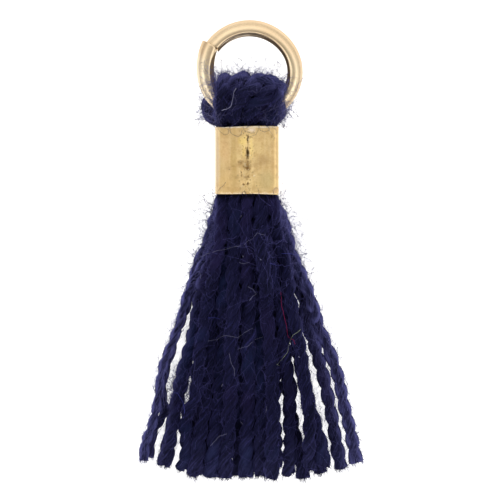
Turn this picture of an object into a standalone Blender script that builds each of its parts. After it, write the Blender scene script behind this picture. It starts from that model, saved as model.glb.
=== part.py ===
"""A short cotton tassel on a jump ring, lying on its back on a level surface.

The frame: millimetres are written as multiples of MM, +Z is up, away from the
surface, and +Y runs along the tassel towards its ring. The origin is the middle
of the flat back of the crimp band, where the band lies on the surface.

Three pieces are made, each one closed solid:
  jump_ring   a round wire bent to a ring, its two ends meeting a little out of line
  crimp_band  a strip of sheet folded round the yarn, its ends meeting in front
  yarn        the yarn folded over the ring, its neck in the band and its strands
"""

import math

import bmesh
import bpy
from mathutils import Matrix, Vector

MM = 0.001

# Room left between one piece and the next
CLEARANCE = 0.30 * MM

# Crimp band, folded from a strip of sheet
BAND_WIDTH = 3.00 * MM
BAND_LENGTH = 3.20 * MM
BAND_DEPTH = 2.60 * MM
BAND_SHEET = 0.20 * MM
BAND_BEND_RADIUS = 0.42 * MM
BAND_BEND_STEPS = 5
BAND_SEAM_X = 0.05 * MM
BAND_SEAM_GAP = 0.06 * MM
BAND_RIM_ROUNDING = 0.04 * MM

# Jump ring, a round wire that lies on the surface at its far side and rises into the yarn
RING_OUTER = 5.00 * MM
RING_WIRE = 0.70 * MM
RING_CENTRE_X = 0.14 * MM
RING_REACH_Y = 6.70 * MM
RING_JOINT_DEG = 146.0
RING_JOINT_GAP = 0.06 * MM
RING_JOINT_STEP = 0.20 * MM
RING_JOINT_FADE_DEG = 48.0
RING_STEPS = 64
RING_SIDES = 12

RING_RADIUS = (RING_OUTER - RING_WIRE) / 2
RING_LOW_Z = RING_WIRE / 2
RING_HIGH_Z = BAND_DEPTH / 2
RING_TILT = math.asin((RING_HIGH_Z - RING_LOW_Z) / (2 * RING_RADIUS))
RING_CENTRE = Vector((
    RING_CENTRE_X,
    RING_REACH_Y - RING_WIRE / 2 - RING_RADIUS * math.cos(RING_TILT),
    (RING_LOW_Z + RING_HIGH_Z) / 2,
))

# Head and neck of the yarn: sections across it, from the fold down to the strands.
# Columns, in millimetres: y along the tassel, left and right reach in x, lowest and
# highest z, how square the section is (2 is an ellipse), and the height of its ridges.
BODY_COLUMNS = ("y", "left", "right", "low", "high", "square", "ridge")
BODY_SECTIONS = (
    (4.33, -1.00, 0.10, 1.20, 1.75, 2.0, 0.00),
    (4.27, -1.28, 0.82, 0.88, 2.10, 2.1, 0.06),
    (4.13, -1.50, 1.15, 0.55, 2.45, 2.2, 0.12),
    (3.93, -1.58, 1.38, 0.30, 2.76, 2.3, 0.16),
    (3.68, -1.58, 1.62, 0.10, 2.98, 2.4, 0.18),
    (3.42, -1.60, 1.92, -0.04, 3.10, 2.5, 0.18),
    (3.10, -1.80, 2.00, -0.10, 3.15, 2.6, 0.18),
    (2.80, -2.10, 1.95, -0.10, 3.12, 2.6, 0.18),
    (2.50, -2.12, 1.88, -0.10, 3.04, 2.6, 0.17),
    (2.22, -1.98, 1.76, -0.06, 2.90, 2.6, 0.14),
    (2.02, -1.76, 1.62, 0.04, 2.70, 2.6, 0.09),
    (1.92, -1.50, 1.45, 0.20, 2.48, 2.7, 0.03),
    (1.86, -1.00, 1.00, 0.50, 2.10, 3.2, 0.00),
    (-1.84, -1.00, 1.00, 0.50, 2.10, 3.2, 0.00),
    (-1.90, -1.44, 1.44, 0.06, 2.72, 3.6, 0.00),
    (-2.02, -1.58, 1.58, -0.04, 2.84, 3.8, 0.00),
    (-2.20, -1.60, 1.60, -0.04, 2.84, 3.8, 0.00),
)
BODY_ROW_GAP = 0.14 * MM
BODY_POINTS = 68
RIDGE_PITCH = 0.68 * MM
RIDGE_SLANT_DEG = 62.0

# Skirt: strands of yarn in five columns and five rows where they leave the neck
STRAND_ROOT_RADIUS = 0.25 * MM
STRAND_RADIUS = 0.33 * MM
STRAND_SWELL_LENGTH = 2.4 * MM
STRAND_SPACE = 0.02 * MM
STRAND_SIDES = 4
STRAND_STEP = 0.46 * MM
STRAND_TURN_DEG = 42.0
SKIRT_TOP_Y = -2.20 * MM
SKIRT_ROOT_DEPTH = 0.12 * MM
SKIRT_MIDDLE_Y = -10.67 * MM
ROOT_COLUMN_PITCH = 0.61 * MM
ROOT_ROW_PITCH = 0.53 * MM
ROOT_ROWS = 5
ROOT_COLUMNS = 5

# Each strand, from left to right: its root's column and row (row 0 lies on the surface),
# its x halfway down the skirt, and the x and y of its cut end, in millimetres.
STRAND_COLUMNS = ("column", "row", "middle_x", "end_x", "end_y")
STRANDS = (
    (0, 2, -4.00, -4.85, -14.20),
    (0, 1, -3.92, -4.50, -13.75),
    (0, 0, -3.05, -3.95, -14.57),
    (0, 3, -3.14, -3.76, -14.33),
    (0, 4, -2.38, -3.10, -14.60),
    (1, 0, -2.10, -2.52, -15.14),
    (1, 2, -1.90, -2.60, -14.80),
    (1, 3, -1.40, -1.88, -14.95),
    (1, 1, -1.60, -2.22, -14.50),
    (1, 4, -0.86, -1.10, -14.80),
    (2, 0, -1.05, -0.98, -15.14),
    (2, 2, -0.35, -0.36, -14.90),
    (2, 1, 0.30, 0.20, -14.70),
    (2, 4, 0.14, 0.10, -15.05),
    (2, 3, 0.67, 0.55, -15.00),
    (3, 0, 0.90, 0.92, -14.60),
    (3, 4, 1.22, 1.19, -15.10),
    (3, 1, 1.20, 1.30, -14.50),
    (3, 3, 1.84, 2.05, -14.90),
    (3, 2, 1.88, 2.57, -15.05),
    (4, 4, 2.76, 3.10, -14.76),
    (4, 3, 2.74, 3.62, -14.52),
    (4, 0, 2.70, 3.50, -14.95),
    (4, 1, 3.74, 4.43, -14.64),
    (4, 2, 4.46, 5.19, -14.30),
)

# How the strands settle from one step down the skirt to the next
SETTLE_ROUNDS = 60
SETTLE_FALL = 0.012 * MM
SETTLE_PULL = 0.20

GOLD = (0.80, 0.60, 0.28, 1.0)
BRASS = (0.86, 0.68, 0.40, 1.0)
NAVY = (0.022, 0.020, 0.075, 1.0)


# ---------------------------------------------------------------- making objects

def clear_scene():
    """Remove every object that the scene starts with."""
    for thing in list(bpy.data.objects):
        bpy.data.objects.remove(thing, do_unlink=True)


def make_material(name, colour, roughness, metallic):
    """Return a Principled material of one colour."""
    material = bpy.data.materials.new(name)
    material.use_nodes = True
    shader = material.node_tree.nodes["Principled BSDF"]
    shader.inputs["Base Color"].default_value = colour
    shader.inputs["Roughness"].default_value = roughness
    shader.inputs["Metallic"].default_value = metallic
    material.diffuse_color = colour
    return material


def make_object(name, bm, material=None, smooth_angle=None):
    """Turn a bmesh into an object whose faces point outwards."""
    bmesh.ops.recalc_face_normals(bm, faces=bm.faces[:])
    mesh = bpy.data.meshes.new(name)
    bm.to_mesh(mesh)
    bm.free()
    if smooth_angle is not None:
        mesh.shade_smooth()
        mesh.set_sharp_from_angle(angle=math.radians(smooth_angle))
    thing = bpy.data.objects.new(name, mesh)
    bpy.context.scene.collection.objects.link(thing)
    if material is not None:
        mesh.materials.append(material)
    return thing


def make_tool(name, bm):
    """Make an object that only cuts or joins another one."""
    tool = make_object(name, bm)
    tool.hide_render = True
    tool.display_type = "WIRE"
    return tool


def add_boolean(thing, tool, operation):
    """Cut an object with a tool, or join the tool to it."""
    modifier = thing.modifiers.new(operation.title(), "BOOLEAN")
    modifier.operation = operation
    modifier.object = tool
    modifier.solver = "EXACT"


def loft(bm, rings):
    """Skin a row of closed rings that have as many points each, and cap both ends."""
    rows = [[bm.verts.new(point) for point in ring] for ring in rings]
    count = len(rows[0])
    for lower, upper in zip(rows, rows[1:]):
        for i in range(count):
            j = (i + 1) % count
            bm.faces.new((lower[i], lower[j], upper[j], upper[i]))
    bm.faces.new(rows[0])
    bm.faces.new(rows[-1])


# ---------------------------------------------------------------- jump ring

def ring_to_world():
    """Return the turn and place that take the flat ring to where it leans."""
    return Matrix.Translation(RING_CENTRE) @ Matrix.Rotation(-RING_TILT, 4, "X")


def wire_ring(angle, radius, wire_radius, sides):
    """Return the round section of a wire at one angle of a flat ring."""
    outward = Vector((math.cos(angle), math.sin(angle), 0.0))
    centre = outward * radius
    points = []
    for k in range(sides):
        turn = math.tau * k / sides
        points.append(centre + wire_radius * (
            math.cos(turn) * outward + math.sin(turn) * Vector((0.0, 0.0, 1.0))))
    return points


def build_jump_ring():
    """Sweep the wire once round, its first end standing a little outside its last."""
    joint = math.radians(RING_JOINT_DEG)
    half_gap = RING_JOINT_GAP / 2 / RING_RADIUS
    fade = math.radians(RING_JOINT_FADE_DEG)
    rings = []
    for k in range(RING_STEPS + 1):
        swept = half_gap + (math.tau - 2 * half_gap) * k / RING_STEPS
        step = RING_JOINT_STEP * max(0.0, 1 - swept / fade) ** 2
        rings.append(wire_ring(joint + swept, RING_RADIUS + step, RING_WIRE / 2, RING_SIDES))
    bm = bmesh.new()
    loft(bm, rings)
    bm.transform(ring_to_world())
    material = make_material("polished_brass", BRASS, 0.16, 1.0)
    return make_object("jump_ring", bm, material, smooth_angle=50)


# ---------------------------------------------------------------- crimp band

def fold_outline(inset):
    """Return the band's folded outline in x and z, from one side of the seam to the other."""
    half = BAND_WIDTH / 2 - inset
    low = inset
    high = BAND_DEPTH - inset
    radius = BAND_BEND_RADIUS - inset
    corners = (
        (half - radius, high - radius, 90.0),
        (half - radius, low + radius, 0.0),
        (-half + radius, low + radius, -90.0),
        (-half + radius, high - radius, -180.0),
    )
    points = [(BAND_SEAM_X + BAND_SEAM_GAP / 2, high)]
    for x, z, start in corners:
        for k in range(BAND_BEND_STEPS + 1):
            angle = math.radians(start - 90.0 * k / BAND_BEND_STEPS)
            points.append((x + radius * math.cos(angle), z + radius * math.sin(angle)))
    points.append((BAND_SEAM_X - BAND_SEAM_GAP / 2, high))
    return points


def build_crimp_band():
    """Extrude the folded strip along the tassel and round its rims."""
    outline = fold_outline(0.0) + list(reversed(fold_outline(BAND_SHEET)))
    rings = []
    for y in (-BAND_LENGTH / 2, BAND_LENGTH / 2):
        rings.append([Vector((x, y, z)) for x, z in outline])
    bm = bmesh.new()
    loft(bm, rings)
    material = make_material("worn_gold_sheet", GOLD, 0.38, 1.0)
    band = make_object("crimp_band", bm, material, smooth_angle=35)
    rounding = band.modifiers.new("Rim", "BEVEL")
    rounding.width = BAND_RIM_ROUNDING
    rounding.segments = 1
    rounding.limit_method = "ANGLE"
    rounding.angle_limit = math.radians(60)
    return band


# ---------------------------------------------------------------- yarn: head and neck

def body_rows():
    """Return the body's sections, with more between those that lie far apart in the head."""
    rows = []
    for first, second in zip(BODY_SECTIONS, BODY_SECTIONS[1:]):
        upper = dict(zip(BODY_COLUMNS, first))
        lower = dict(zip(BODY_COLUMNS, second))
        ridged = upper["ridge"] > 0 and lower["ridge"] > 0
        span = (upper["y"] - lower["y"]) * MM
        count = math.ceil(span / BODY_ROW_GAP - 0.01) if ridged else 1
        for k in range(count):
            share = k / count
            rows.append({name: upper[name] + share * (lower[name] - upper[name])
                         for name in BODY_COLUMNS})
    rows.append(dict(zip(BODY_COLUMNS, BODY_SECTIONS[-1])))
    return rows


def ridge_height(x, y, highest):
    """Return how far the folded yarns stand out at one place on the head."""
    slant = math.radians(RIDGE_SLANT_DEG)
    across = x * math.sin(slant) - y * math.cos(slant)
    return highest * abs(math.cos(math.pi * across / RIDGE_PITCH))


def body_ring(row):
    """Return one closed section of the head, the neck or the block that holds the strands."""
    left, right = row["left"] * MM, row["right"] * MM
    low, high = row["low"] * MM, row["high"] * MM
    ridge = row["ridge"] * MM
    half_x, half_z = (right - left) / 2, (high - low) / 2
    power = 2.0 / row["square"]
    y = row["y"] * MM
    points = []
    for k in range(BODY_POINTS):
        angle = math.tau * k / BODY_POINTS
        c, s = math.cos(angle), math.sin(angle)
        flat_x = math.copysign(abs(c) ** power, c)
        flat_z = math.copysign(abs(s) ** power, s)
        x = (left + right) / 2 + half_x * flat_x
        z = (low + high) / 2 + half_z * flat_z
        sunk = ridge - ridge_height(x, y, ridge)
        x -= sunk * c
        z -= sunk * s
        points.append(Vector((x, y, max(z, 0.0))))
    return points


def tunnel_tool():
    """Make the curved hole that the ring passes through, in the fold of the yarn."""
    bm = bmesh.new()
    radius = RING_WIRE / 2 + CLEARANCE
    start, stop, steps = 170.0, 370.0, 28
    rings = []
    for k in range(steps + 1):
        angle = math.radians(start + (stop - start) * k / steps)
        rings.append(wire_ring(angle, RING_RADIUS, radius, RING_SIDES))
    loft(bm, rings)
    bm.transform(ring_to_world())
    return make_tool("ring_tunnel_cutter", bm)


# ---------------------------------------------------------------- yarn: strands

def strand_radius(y):
    """Return a strand's radius: squeezed at the band, full further down."""
    share = min(1.0, (SKIRT_TOP_Y - y) / STRAND_SWELL_LENGTH)
    return STRAND_ROOT_RADIUS + (STRAND_RADIUS - STRAND_ROOT_RADIUS) * share


def wanted_x(row, y):
    """Return where a strand would run in x: a smooth curve by its root, middle and end."""
    root = (row["column"] - (ROOT_COLUMNS - 1) / 2) * ROOT_COLUMN_PITCH
    middle, end = row["middle_x"] * MM, row["end_x"] * MM
    end_y = row["end_y"] * MM
    upper_slope = (middle - root) / (SKIRT_MIDDLE_Y - SKIRT_TOP_Y)
    lower_slope = (end - middle) / (end_y - SKIRT_MIDDLE_Y)
    middle_slope = (upper_slope + lower_slope) / 2
    if y > SKIRT_MIDDLE_Y:
        return ease_between(SKIRT_TOP_Y, root, upper_slope, SKIRT_MIDDLE_Y, middle, middle_slope, y)
    return ease_between(SKIRT_MIDDLE_Y, middle, middle_slope, end_y, end, lower_slope, y)


def ease_between(y0, x0, slope0, y1, x1, slope1, y):
    """Return x at y on the cubic curve that joins two points with the slopes given."""
    span = y1 - y0
    t = (y - y0) / span
    return ((2 * t**3 - 3 * t**2 + 1) * x0 + (t**3 - 2 * t**2 + t) * span * slope0
            + (3 * t**2 - 2 * t**3) * x1 + (t**3 - t**2) * span * slope1)


def push_apart(places, radius):
    """Move each pair of strands that would touch away from each other."""
    least = 2 * radius + STRAND_SPACE
    for i in range(len(places)):
        for j in range(i + 1, len(places)):
            dx = places[j][0] - places[i][0]
            dz = places[j][1] - places[i][1]
            gap = math.hypot(dx, dz)
            if gap < least:
                share = (least - gap) / 2 / max(gap, 1e-9)
                places[i][0] -= dx * share
                places[i][1] -= dz * share
                places[j][0] += dx * share
                places[j][1] += dz * share
    for place in places:
        place[1] = max(place[1], radius)


def lay_strands():
    """Work down the skirt step by step, letting the strands spread, fall and settle.

    Returns for each strand its list of centres, from its root to its cut end.
    """
    rows = [dict(zip(STRAND_COLUMNS, strand)) for strand in STRANDS]
    places = []
    for row in rows:
        x = (row["column"] - (ROOT_COLUMNS - 1) / 2) * ROOT_COLUMN_PITCH
        places.append([x, STRAND_ROOT_RADIUS + row["row"] * ROOT_ROW_PITCH])
    paths = [[Vector((x, SKIRT_TOP_Y, z))] for x, z in places]
    lowest = min(row["end_y"] for row in rows) * MM
    steps = math.ceil((SKIRT_TOP_Y - lowest) / STRAND_STEP)
    for k in range(1, steps + 1):
        y = SKIRT_TOP_Y - k * STRAND_STEP
        radius = strand_radius(y)
        for _ in range(SETTLE_ROUNDS):
            for row, place in zip(rows, places):
                place[0] += (wanted_x(row, y) - place[0]) * SETTLE_PULL
                place[1] -= SETTLE_FALL
            push_apart(places, radius)
        for _ in range(SETTLE_ROUNDS):
            push_apart(places, radius)
        for path, (x, z) in zip(paths, places):
            path.append(Vector((x, y, z)))
    return [cut_path(path, row["end_y"] * MM) for path, row in zip(paths, rows)]


def cut_path(path, end_y):
    """Shorten a path to a cut end at one y."""
    kept = [path[0]]
    for first, second in zip(path, path[1:]):
        if second.y > end_y + STRAND_STEP * 0.25:
            kept.append(second)
        else:
            share = (first.y - end_y) / (first.y - second.y)
            kept.append(first.lerp(second, share))
            break
    return kept


def strand_rings(path, first_turn):
    """Return the square sections along a strand, each turned on from the last as in a twist."""
    start = path[0] + Vector((0.0, SKIRT_ROOT_DEPTH, 0.0))
    centres = [start] + path
    rings = []
    for k, centre in enumerate(centres):
        radius = strand_radius(centre.y) if k > 0 else STRAND_ROOT_RADIUS
        turn = first_turn + math.radians(STRAND_TURN_DEG) * k
        ring = []
        for corner in range(STRAND_SIDES):
            angle = turn + math.tau * corner / STRAND_SIDES
            offset = Vector((math.cos(angle), 0.0, math.sin(angle))) * radius
            ring.append(centre + offset)
        rings.append(ring)
    return rings


def strands_tool():
    """Make all the strands, each closed and clear of the others, to be fused at their roots."""
    bm = bmesh.new()
    for index, path in enumerate(lay_strands()):
        loft(bm, strand_rings(path, first_turn=math.radians(20.0 * index)))
    return make_tool("strands_to_join", bm)


def build_yarn():
    """Loft the head and neck, open the ring's tunnel and fuse the strands to the neck."""
    bm = bmesh.new()
    loft(bm, [body_ring(row) for row in body_rows()])
    yarn = make_object("yarn", bm, make_material("navy_yarn", NAVY, 0.9, 0.0))
    add_boolean(yarn, tunnel_tool(), "DIFFERENCE")
    add_boolean(yarn, strands_tool(), "UNION")
    return yarn


# ---------------------------------------------------------------- the whole tassel

def main():
    """Build the three pieces and hang them on one empty at the band's back."""
    clear_scene()
    tassel = bpy.data.objects.new("tassel", None)
    bpy.context.scene.collection.objects.link(tassel)
    for piece in (build_jump_ring(), build_crimp_band(), build_yarn()):
        piece.parent = tassel


main()
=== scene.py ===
"""Dresses the cotton tassel: its jump ring, its crimp band, its yarn and the yarn's fuzz.

Lengths are in metres, written as multiples of MM. +Y runs along the tassel towards
its ring, +Z is up from the surface that it lies on, and the origin is the middle of
the flat back of the crimp band.
"""

import logging
import math
from collections.abc import Iterable, Mapping, Sequence
from dataclasses import dataclass, field
from enum import Enum
from itertools import combinations

import bmesh
import bpy
from mathutils import Matrix, Vector, noise
from mathutils.bvhtree import BVHTree


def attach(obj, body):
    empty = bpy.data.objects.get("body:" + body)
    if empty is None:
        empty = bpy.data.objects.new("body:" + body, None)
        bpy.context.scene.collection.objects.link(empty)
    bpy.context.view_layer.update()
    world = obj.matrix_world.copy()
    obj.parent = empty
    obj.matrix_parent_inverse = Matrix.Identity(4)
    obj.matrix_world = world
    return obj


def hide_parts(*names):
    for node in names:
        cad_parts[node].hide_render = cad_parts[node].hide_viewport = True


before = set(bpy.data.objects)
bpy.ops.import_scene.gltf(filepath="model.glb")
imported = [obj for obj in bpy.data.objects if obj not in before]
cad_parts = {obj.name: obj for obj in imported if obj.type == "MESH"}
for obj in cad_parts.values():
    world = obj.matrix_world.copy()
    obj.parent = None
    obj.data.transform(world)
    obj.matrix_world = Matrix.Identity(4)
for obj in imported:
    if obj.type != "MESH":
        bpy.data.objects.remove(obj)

MM = 0.001
ROOT = "root"
LOG = logging.getLogger("tassel")
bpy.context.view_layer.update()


class Slot(Enum):
    """The record's material slots."""

    RING = "ring_brass"
    BAND = "band_gold"
    YARN = "yarn_navy"


# ------------------------------------------------------------------ node trees

class Value:
    """One output of a node; Python's operators on it add Math nodes."""

    def __init__(self, maker: "TreeMaker", socket: bpy.types.NodeSocket) -> None:
        """Keep the output and the maker of its tree."""
        self.maker = maker
        self.socket = socket

    def __add__(self, other: "Value | float") -> "Value":
        """Add a value or a number."""
        return self.maker.maths("ADD", self, other)

    def __radd__(self, other: float) -> "Value":
        """Add this value to a number."""
        return self.maker.maths("ADD", other, self)

    def __sub__(self, other: "Value | float") -> "Value":
        """Take a value or a number away."""
        return self.maker.maths("SUBTRACT", self, other)

    def __rsub__(self, other: float) -> "Value":
        """Take this value away from a number."""
        return self.maker.maths("SUBTRACT", other, self)

    def __mul__(self, other: "Value | float") -> "Value":
        """Multiply by a value or a number."""
        return self.maker.maths("MULTIPLY", self, other)

    def __rmul__(self, other: float) -> "Value":
        """Multiply a number by this value."""
        return self.maker.maths("MULTIPLY", other, self)

    def __truediv__(self, other: "Value | float") -> "Value":
        """Divide by a value or a number."""
        return self.maker.maths("DIVIDE", self, other)

    def __pow__(self, other: "Value | float") -> "Value":
        """Raise to a power."""
        return self.maker.maths("POWER", self, other)

    def limited(self) -> "Value":
        """Return this value kept between 0 and 1."""
        return self.maker.maths("MINIMUM", self.maker.maths("MAXIMUM", self, 0.0), 1.0)


Operand = Value | float | int | bool | str | tuple | bpy.types.Material


class TreeMaker:
    """Adds nodes to one node tree, of a material or of Geometry Nodes, and links them."""

    def __init__(self, tree: bpy.types.NodeTree) -> None:
        """Keep the tree that the nodes go into."""
        self.tree = tree

    def node(self, kind: str, settings: Mapping[str, object] | None = None,
             values: Mapping[str, Operand] | Sequence[Operand] = ()) -> bpy.types.Node:
        """Add one node.

        Args:
            kind: The node's type.
            settings: Its own properties, set first; "stops" fills a colour ramp.
            values: Numbers or links for its inputs, by name or in their order.

        Returns:
            The node.
        """
        node = self.tree.nodes.new(kind)
        for name, setting in (settings or {}).items():
            if name == "stops":
                self._fill_ramp(node, setting)
            else:
                setattr(node, name, setting)
        sockets = [socket for socket in node.inputs if socket.enabled]
        if isinstance(values, Mapping):
            pairs = [(self._named(sockets, name), value) for name, value in values.items()]
        else:
            pairs = list(zip(sockets, values))
        for socket, value in pairs:
            if isinstance(value, Value):
                self.tree.links.new(value.socket, socket)
            else:
                socket.default_value = value
        return node

    @staticmethod
    def _named(sockets: Iterable[bpy.types.NodeSocket], name: str) -> bpy.types.NodeSocket:
        """Return the first socket with this name."""
        return next(socket for socket in sockets if socket.name == name)

    @staticmethod
    def _fill_ramp(node: bpy.types.Node, stops: Sequence[tuple]) -> None:
        """Give a colour ramp its stops.

        Args:
            node: The ramp's node.
            stops: The stops, each a position and a colour.
        """
        elements = node.color_ramp.elements
        while len(elements) < len(stops):
            elements.new(0.5)
        for element, (position, colour) in zip(elements, stops):
            element.position = position
            element.color = colour

    def value(self, kind: str, settings: Mapping[str, object] | None = None,
              values: Mapping[str, Operand] | Sequence[Operand] = (),
              output: str | None = None) -> Value:
        """Add one node and return one of its outputs.

        Args:
            kind: The node's type.
            settings: Its own properties.
            values: Numbers or links for its inputs.
            output: The output's name, or None for the first one.

        Returns:
            The output.
        """
        node = self.node(kind, settings, values)
        sockets = [socket for socket in node.outputs if socket.enabled]
        return Value(self, self._named(sockets, output) if output else sockets[0])

    def maths(self, operation: str, *operands: Operand) -> Value:
        """Add a Math node."""
        return self.value("ShaderNodeMath", {"operation": operation}, operands)

    def vector(self, operation: str, *operands: Operand) -> Value:
        """Add a Vector Math node."""
        return self.value("ShaderNodeVectorMath", {"operation": operation}, operands)

    def combine(self, x: Operand, y: Operand, z: Operand) -> Value:
        """Join three numbers into a vector."""
        return self.value("ShaderNodeCombineXYZ", None, (x, y, z))

    def split(self, vector: Value) -> tuple[Value, ...]:
        """Split a vector into its three numbers."""
        node = self.node("ShaderNodeSeparateXYZ", None, (vector,))
        return tuple(Value(self, socket) for socket in node.outputs)

    def noise(self, where: Value, scale: float, detail: float = 2.0, roughness: float = 0.5,
              distortion: float = 0.0) -> Value:
        """Return soft noise from 0 to 1 over a place."""
        return self.value("ShaderNodeTexNoise", None, {
            "Vector": where, "Scale": scale, "Detail": detail, "Roughness": roughness,
            "Distortion": distortion})

    def step(self, value: Value, low: float, high: float) -> Value:
        """Return 0 below low and 1 above high, eased between; low may be the greater."""
        return self.value("ShaderNodeMapRange", {"interpolation_type": "SMOOTHSTEP"}, {
            "Value": value, "From Min": low, "From Max": high, "To Min": 0.0, "To Max": 1.0})

    def mix(self, share: Operand, first: Operand, second: Operand) -> Value:
        """Mix two colours by a share of the second."""
        return self.value("ShaderNodeMix", {"data_type": "RGBA"}, {
            "Factor": share, "A": first, "B": second})

    def distance(self, x: Value, y: Value) -> Value:
        """Return how far a place lies from the middle, by its two numbers."""
        return self.maths("SQRT", x * x + y * y)

    def drift(self, where: Value, scale: Operand, detail: float = 1.0,
              number: Value | None = None) -> Value:
        """Return a soft random vector about zero.

        Args:
            where: The place that it changes with.
            scale: How fast it changes.
            detail: How much fine change it has.
            number: Another number that it changes with, such as a fibre's own.

        Returns:
            The vector, each part from -0.5 to 0.5.
        """
        fourth = {} if number is None else {"W": number}
        settings = {"noise_dimensions": "4D"} if fourth else None
        colour = self.value("ShaderNodeTexNoise", settings, {
            "Vector": where, **fourth, "Scale": scale, "Detail": detail}, output="Color")
        return self.vector("SUBTRACT", colour, (0.5, 0.5, 0.5))

    def surface_place(self) -> Value:
        """Return where a shaded point lies on its own piece."""
        return self.value("ShaderNodeTexCoord", output="Object")

    def from_mesh(self, name: str, output: str = "Fac") -> Value:
        """Return what the shaded mesh keeps under a name."""
        return self.value("ShaderNodeAttribute", {"attribute_name": name}, output=output)

    def tipped(self, height: Value, strength: float, distance: float,
               **under: Value) -> Value:
        """Return the surface's direction, tipped as if a pattern stood out of it."""
        return self.value("ShaderNodeBump", None, {
            "Strength": strength, "Distance": distance, "Height": height, **under})


def srgb(code: str) -> tuple[float, float, float, float]:
    """Return a screen colour as light.

    Args:
        code: The colour in hexadecimal: two digits each for red, green and blue.

    Returns:
        Its linear red, green and blue, and 1 for opaque.
    """
    parts = [int(code[k:k + 2], 16) / 255 for k in (0, 2, 4)]
    linear = [part / 12.92 if part <= 0.04045 else ((part + 0.055) / 1.055) ** 2.4
              for part in parts]
    return (*linear, 1.0)


# ------------------------------------------------------------------ finishes

class Finish:
    """A surface finish, made once and given to as many pieces as need it."""

    name = "finish"

    def __init__(self) -> None:
        """Start with no material made."""
        self._material: bpy.types.Material | None = None

    @property
    def material(self) -> bpy.types.Material:
        """The finish's material.

        Returns:
            The material, which is made when it is first asked for.
        """
        if self._material is None:
            self._material = bpy.data.materials.new(self.name)
            self._material.use_nodes = True
            tree = self._material.node_tree
            shader = tree.nodes["Principled BSDF"]
            self.paint(TreeMaker(tree), shader)
        return self._material

    def paint(self, make: TreeMaker, shader: bpy.types.Node) -> None:
        """Add the finish's nodes to its shader.

        Args:
            make: The maker of the finish's node tree.
            shader: The shader that the nodes feed.
        """
        raise NotImplementedError

    @staticmethod
    def feed(make: TreeMaker, shader: bpy.types.Node, **values: Value) -> None:
        """Link values to the shader's inputs, whose names have no spaces here."""
        for name, value in values.items():
            make.tree.links.new(value.socket, shader.inputs[name.replace("_", " ")])

    @staticmethod
    def fix(shader: bpy.types.Node, **values: float | tuple) -> None:
        """Set the shader's inputs that are the same all over the piece."""
        for name, value in values.items():
            shader.inputs[name.replace("_", " ")].default_value = value


class PolishedBrass(Finish):
    """Drawn wire with a pale gold polish, with painted shade on the ring's inner side and
    painted reflections: dimmer patches, a duller outer slope and a bright patch.
    """

    name = "polished_brass_wire"
    shade_from = 0.265
    shade_full = 0.292

    def __init__(self, ring: "JumpRing") -> None:
        """Keep the ring, whose centre and lean place the painted shade."""
        super().__init__()
        self.ring = ring

    def paint(self, make: TreeMaker, shader: bpy.types.Node) -> None:
        """Colour the wire by its distance from the ring's middle, with faint scuffs, painted shade
        on its inner side and painted reflections.

        Args:
            make: The maker of the finish's node tree.
            shader: The shader that the nodes feed.
        """
        self.fix(shader, Specular_IOR_Level=0.0)
        ring = self.ring
        place = make.surface_place()
        flat = make.value("ShaderNodeMapping", {"vector_type": "TEXTURE"}, {
            "Vector": place, "Location": tuple(ring.centre), "Rotation": (-ring.tilt, 0.0, 0.0)})
        x, y, _ = make.split(flat)
        reach = make.distance(x, y) / MM
        wear = make.noise(place, 900.0, 3.0)
        middle = ring.radius / MM
        low, high = make.step(y / MM, 0.4, -1.2), make.step(y / MM, 0.2, 1.6)
        left = make.step(x / MM, -0.9, -1.5) * make.step(y / MM, 1.25, 0.95)
        # Painted shade: a patch at the upper right and one at the upper left turn a darker gold,
        # standing for dimmer reflections there.
        painted_dim = make.step((x * 0.55 + y * 0.83) / MM, 1.0, 2.2)
        painted_dim_left = make.step((y * 0.87 - x * 0.50) / MM, 1.1, 2.1)
        # Painted highlight: the lower left turns paler, standing for a bright reflection.
        painted_glint = make.step((x + y * 0.6) / MM, -1.75, -2.10)
        rim = (reach + (wear - 0.5) * 0.04 - low * (0.17 - 0.12 * left) - left * 0.03
               + high * 0.092 + painted_dim * 0.01)
        # Painted shade: the wire's inner side turns dark brown and less metallic, standing for the
        # dark reflection of the shade inside the ring.
        inner = make.step(rim, middle - self.shade_from, middle - self.shade_full)
        # Painted reflection: the wire's outer slope turns a duller, greyer tan.
        outer = make.step(reach, middle + 0.12, middle + 0.30)
        gold = make.mix(wear, srgb("efddbe"), srgb("e5cda8"))
        for share, colour in ((outer * 0.85, "bda88c"), (painted_dim * 0.45, "c9a77c"),
                              (painted_dim_left * (1.0 - painted_dim) * 0.35, "c9a77c"),
                              (painted_glint * 0.30, "f0e6d0")):
            gold = make.mix(share, gold, srgb(colour))
        # The painted shade's colours: dark brown, lighter on the left arm.
        painted_shade = make.mix(make.noise(place, 2600.0, 2.0), srgb("2c1f16"), srgb("4e3b28"))
        painted_shade = make.mix(left * 0.5, painted_shade, srgb("8a7350"))
        draw_lines = make.noise(make.combine(make.maths("ARCTAN2", y, x) * 2.0, reach * 30.0,
                                             reach * 30.0), 1.6, 3.0)
        self.feed(make, shader, Base_Color=make.mix(inner * 0.95, gold, painted_shade),
                  Metallic=1.0 - inner * 0.9,
                  Roughness=0.12 + 0.10 * wear + 0.14 * inner + 0.09 * high,
                  Normal=make.tipped(draw_lines, 0.25, 0.012 * MM))


@dataclass(frozen=True)
class Mark:
    """A patch of colour on the band's front, in millimetres: a stain, a pit, a worn place,
    painted shade, a painted highlight or a painted reflection.
    """

    x: float
    y: float
    half_width: float
    half_height: float
    depth: float
    colour: str


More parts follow.
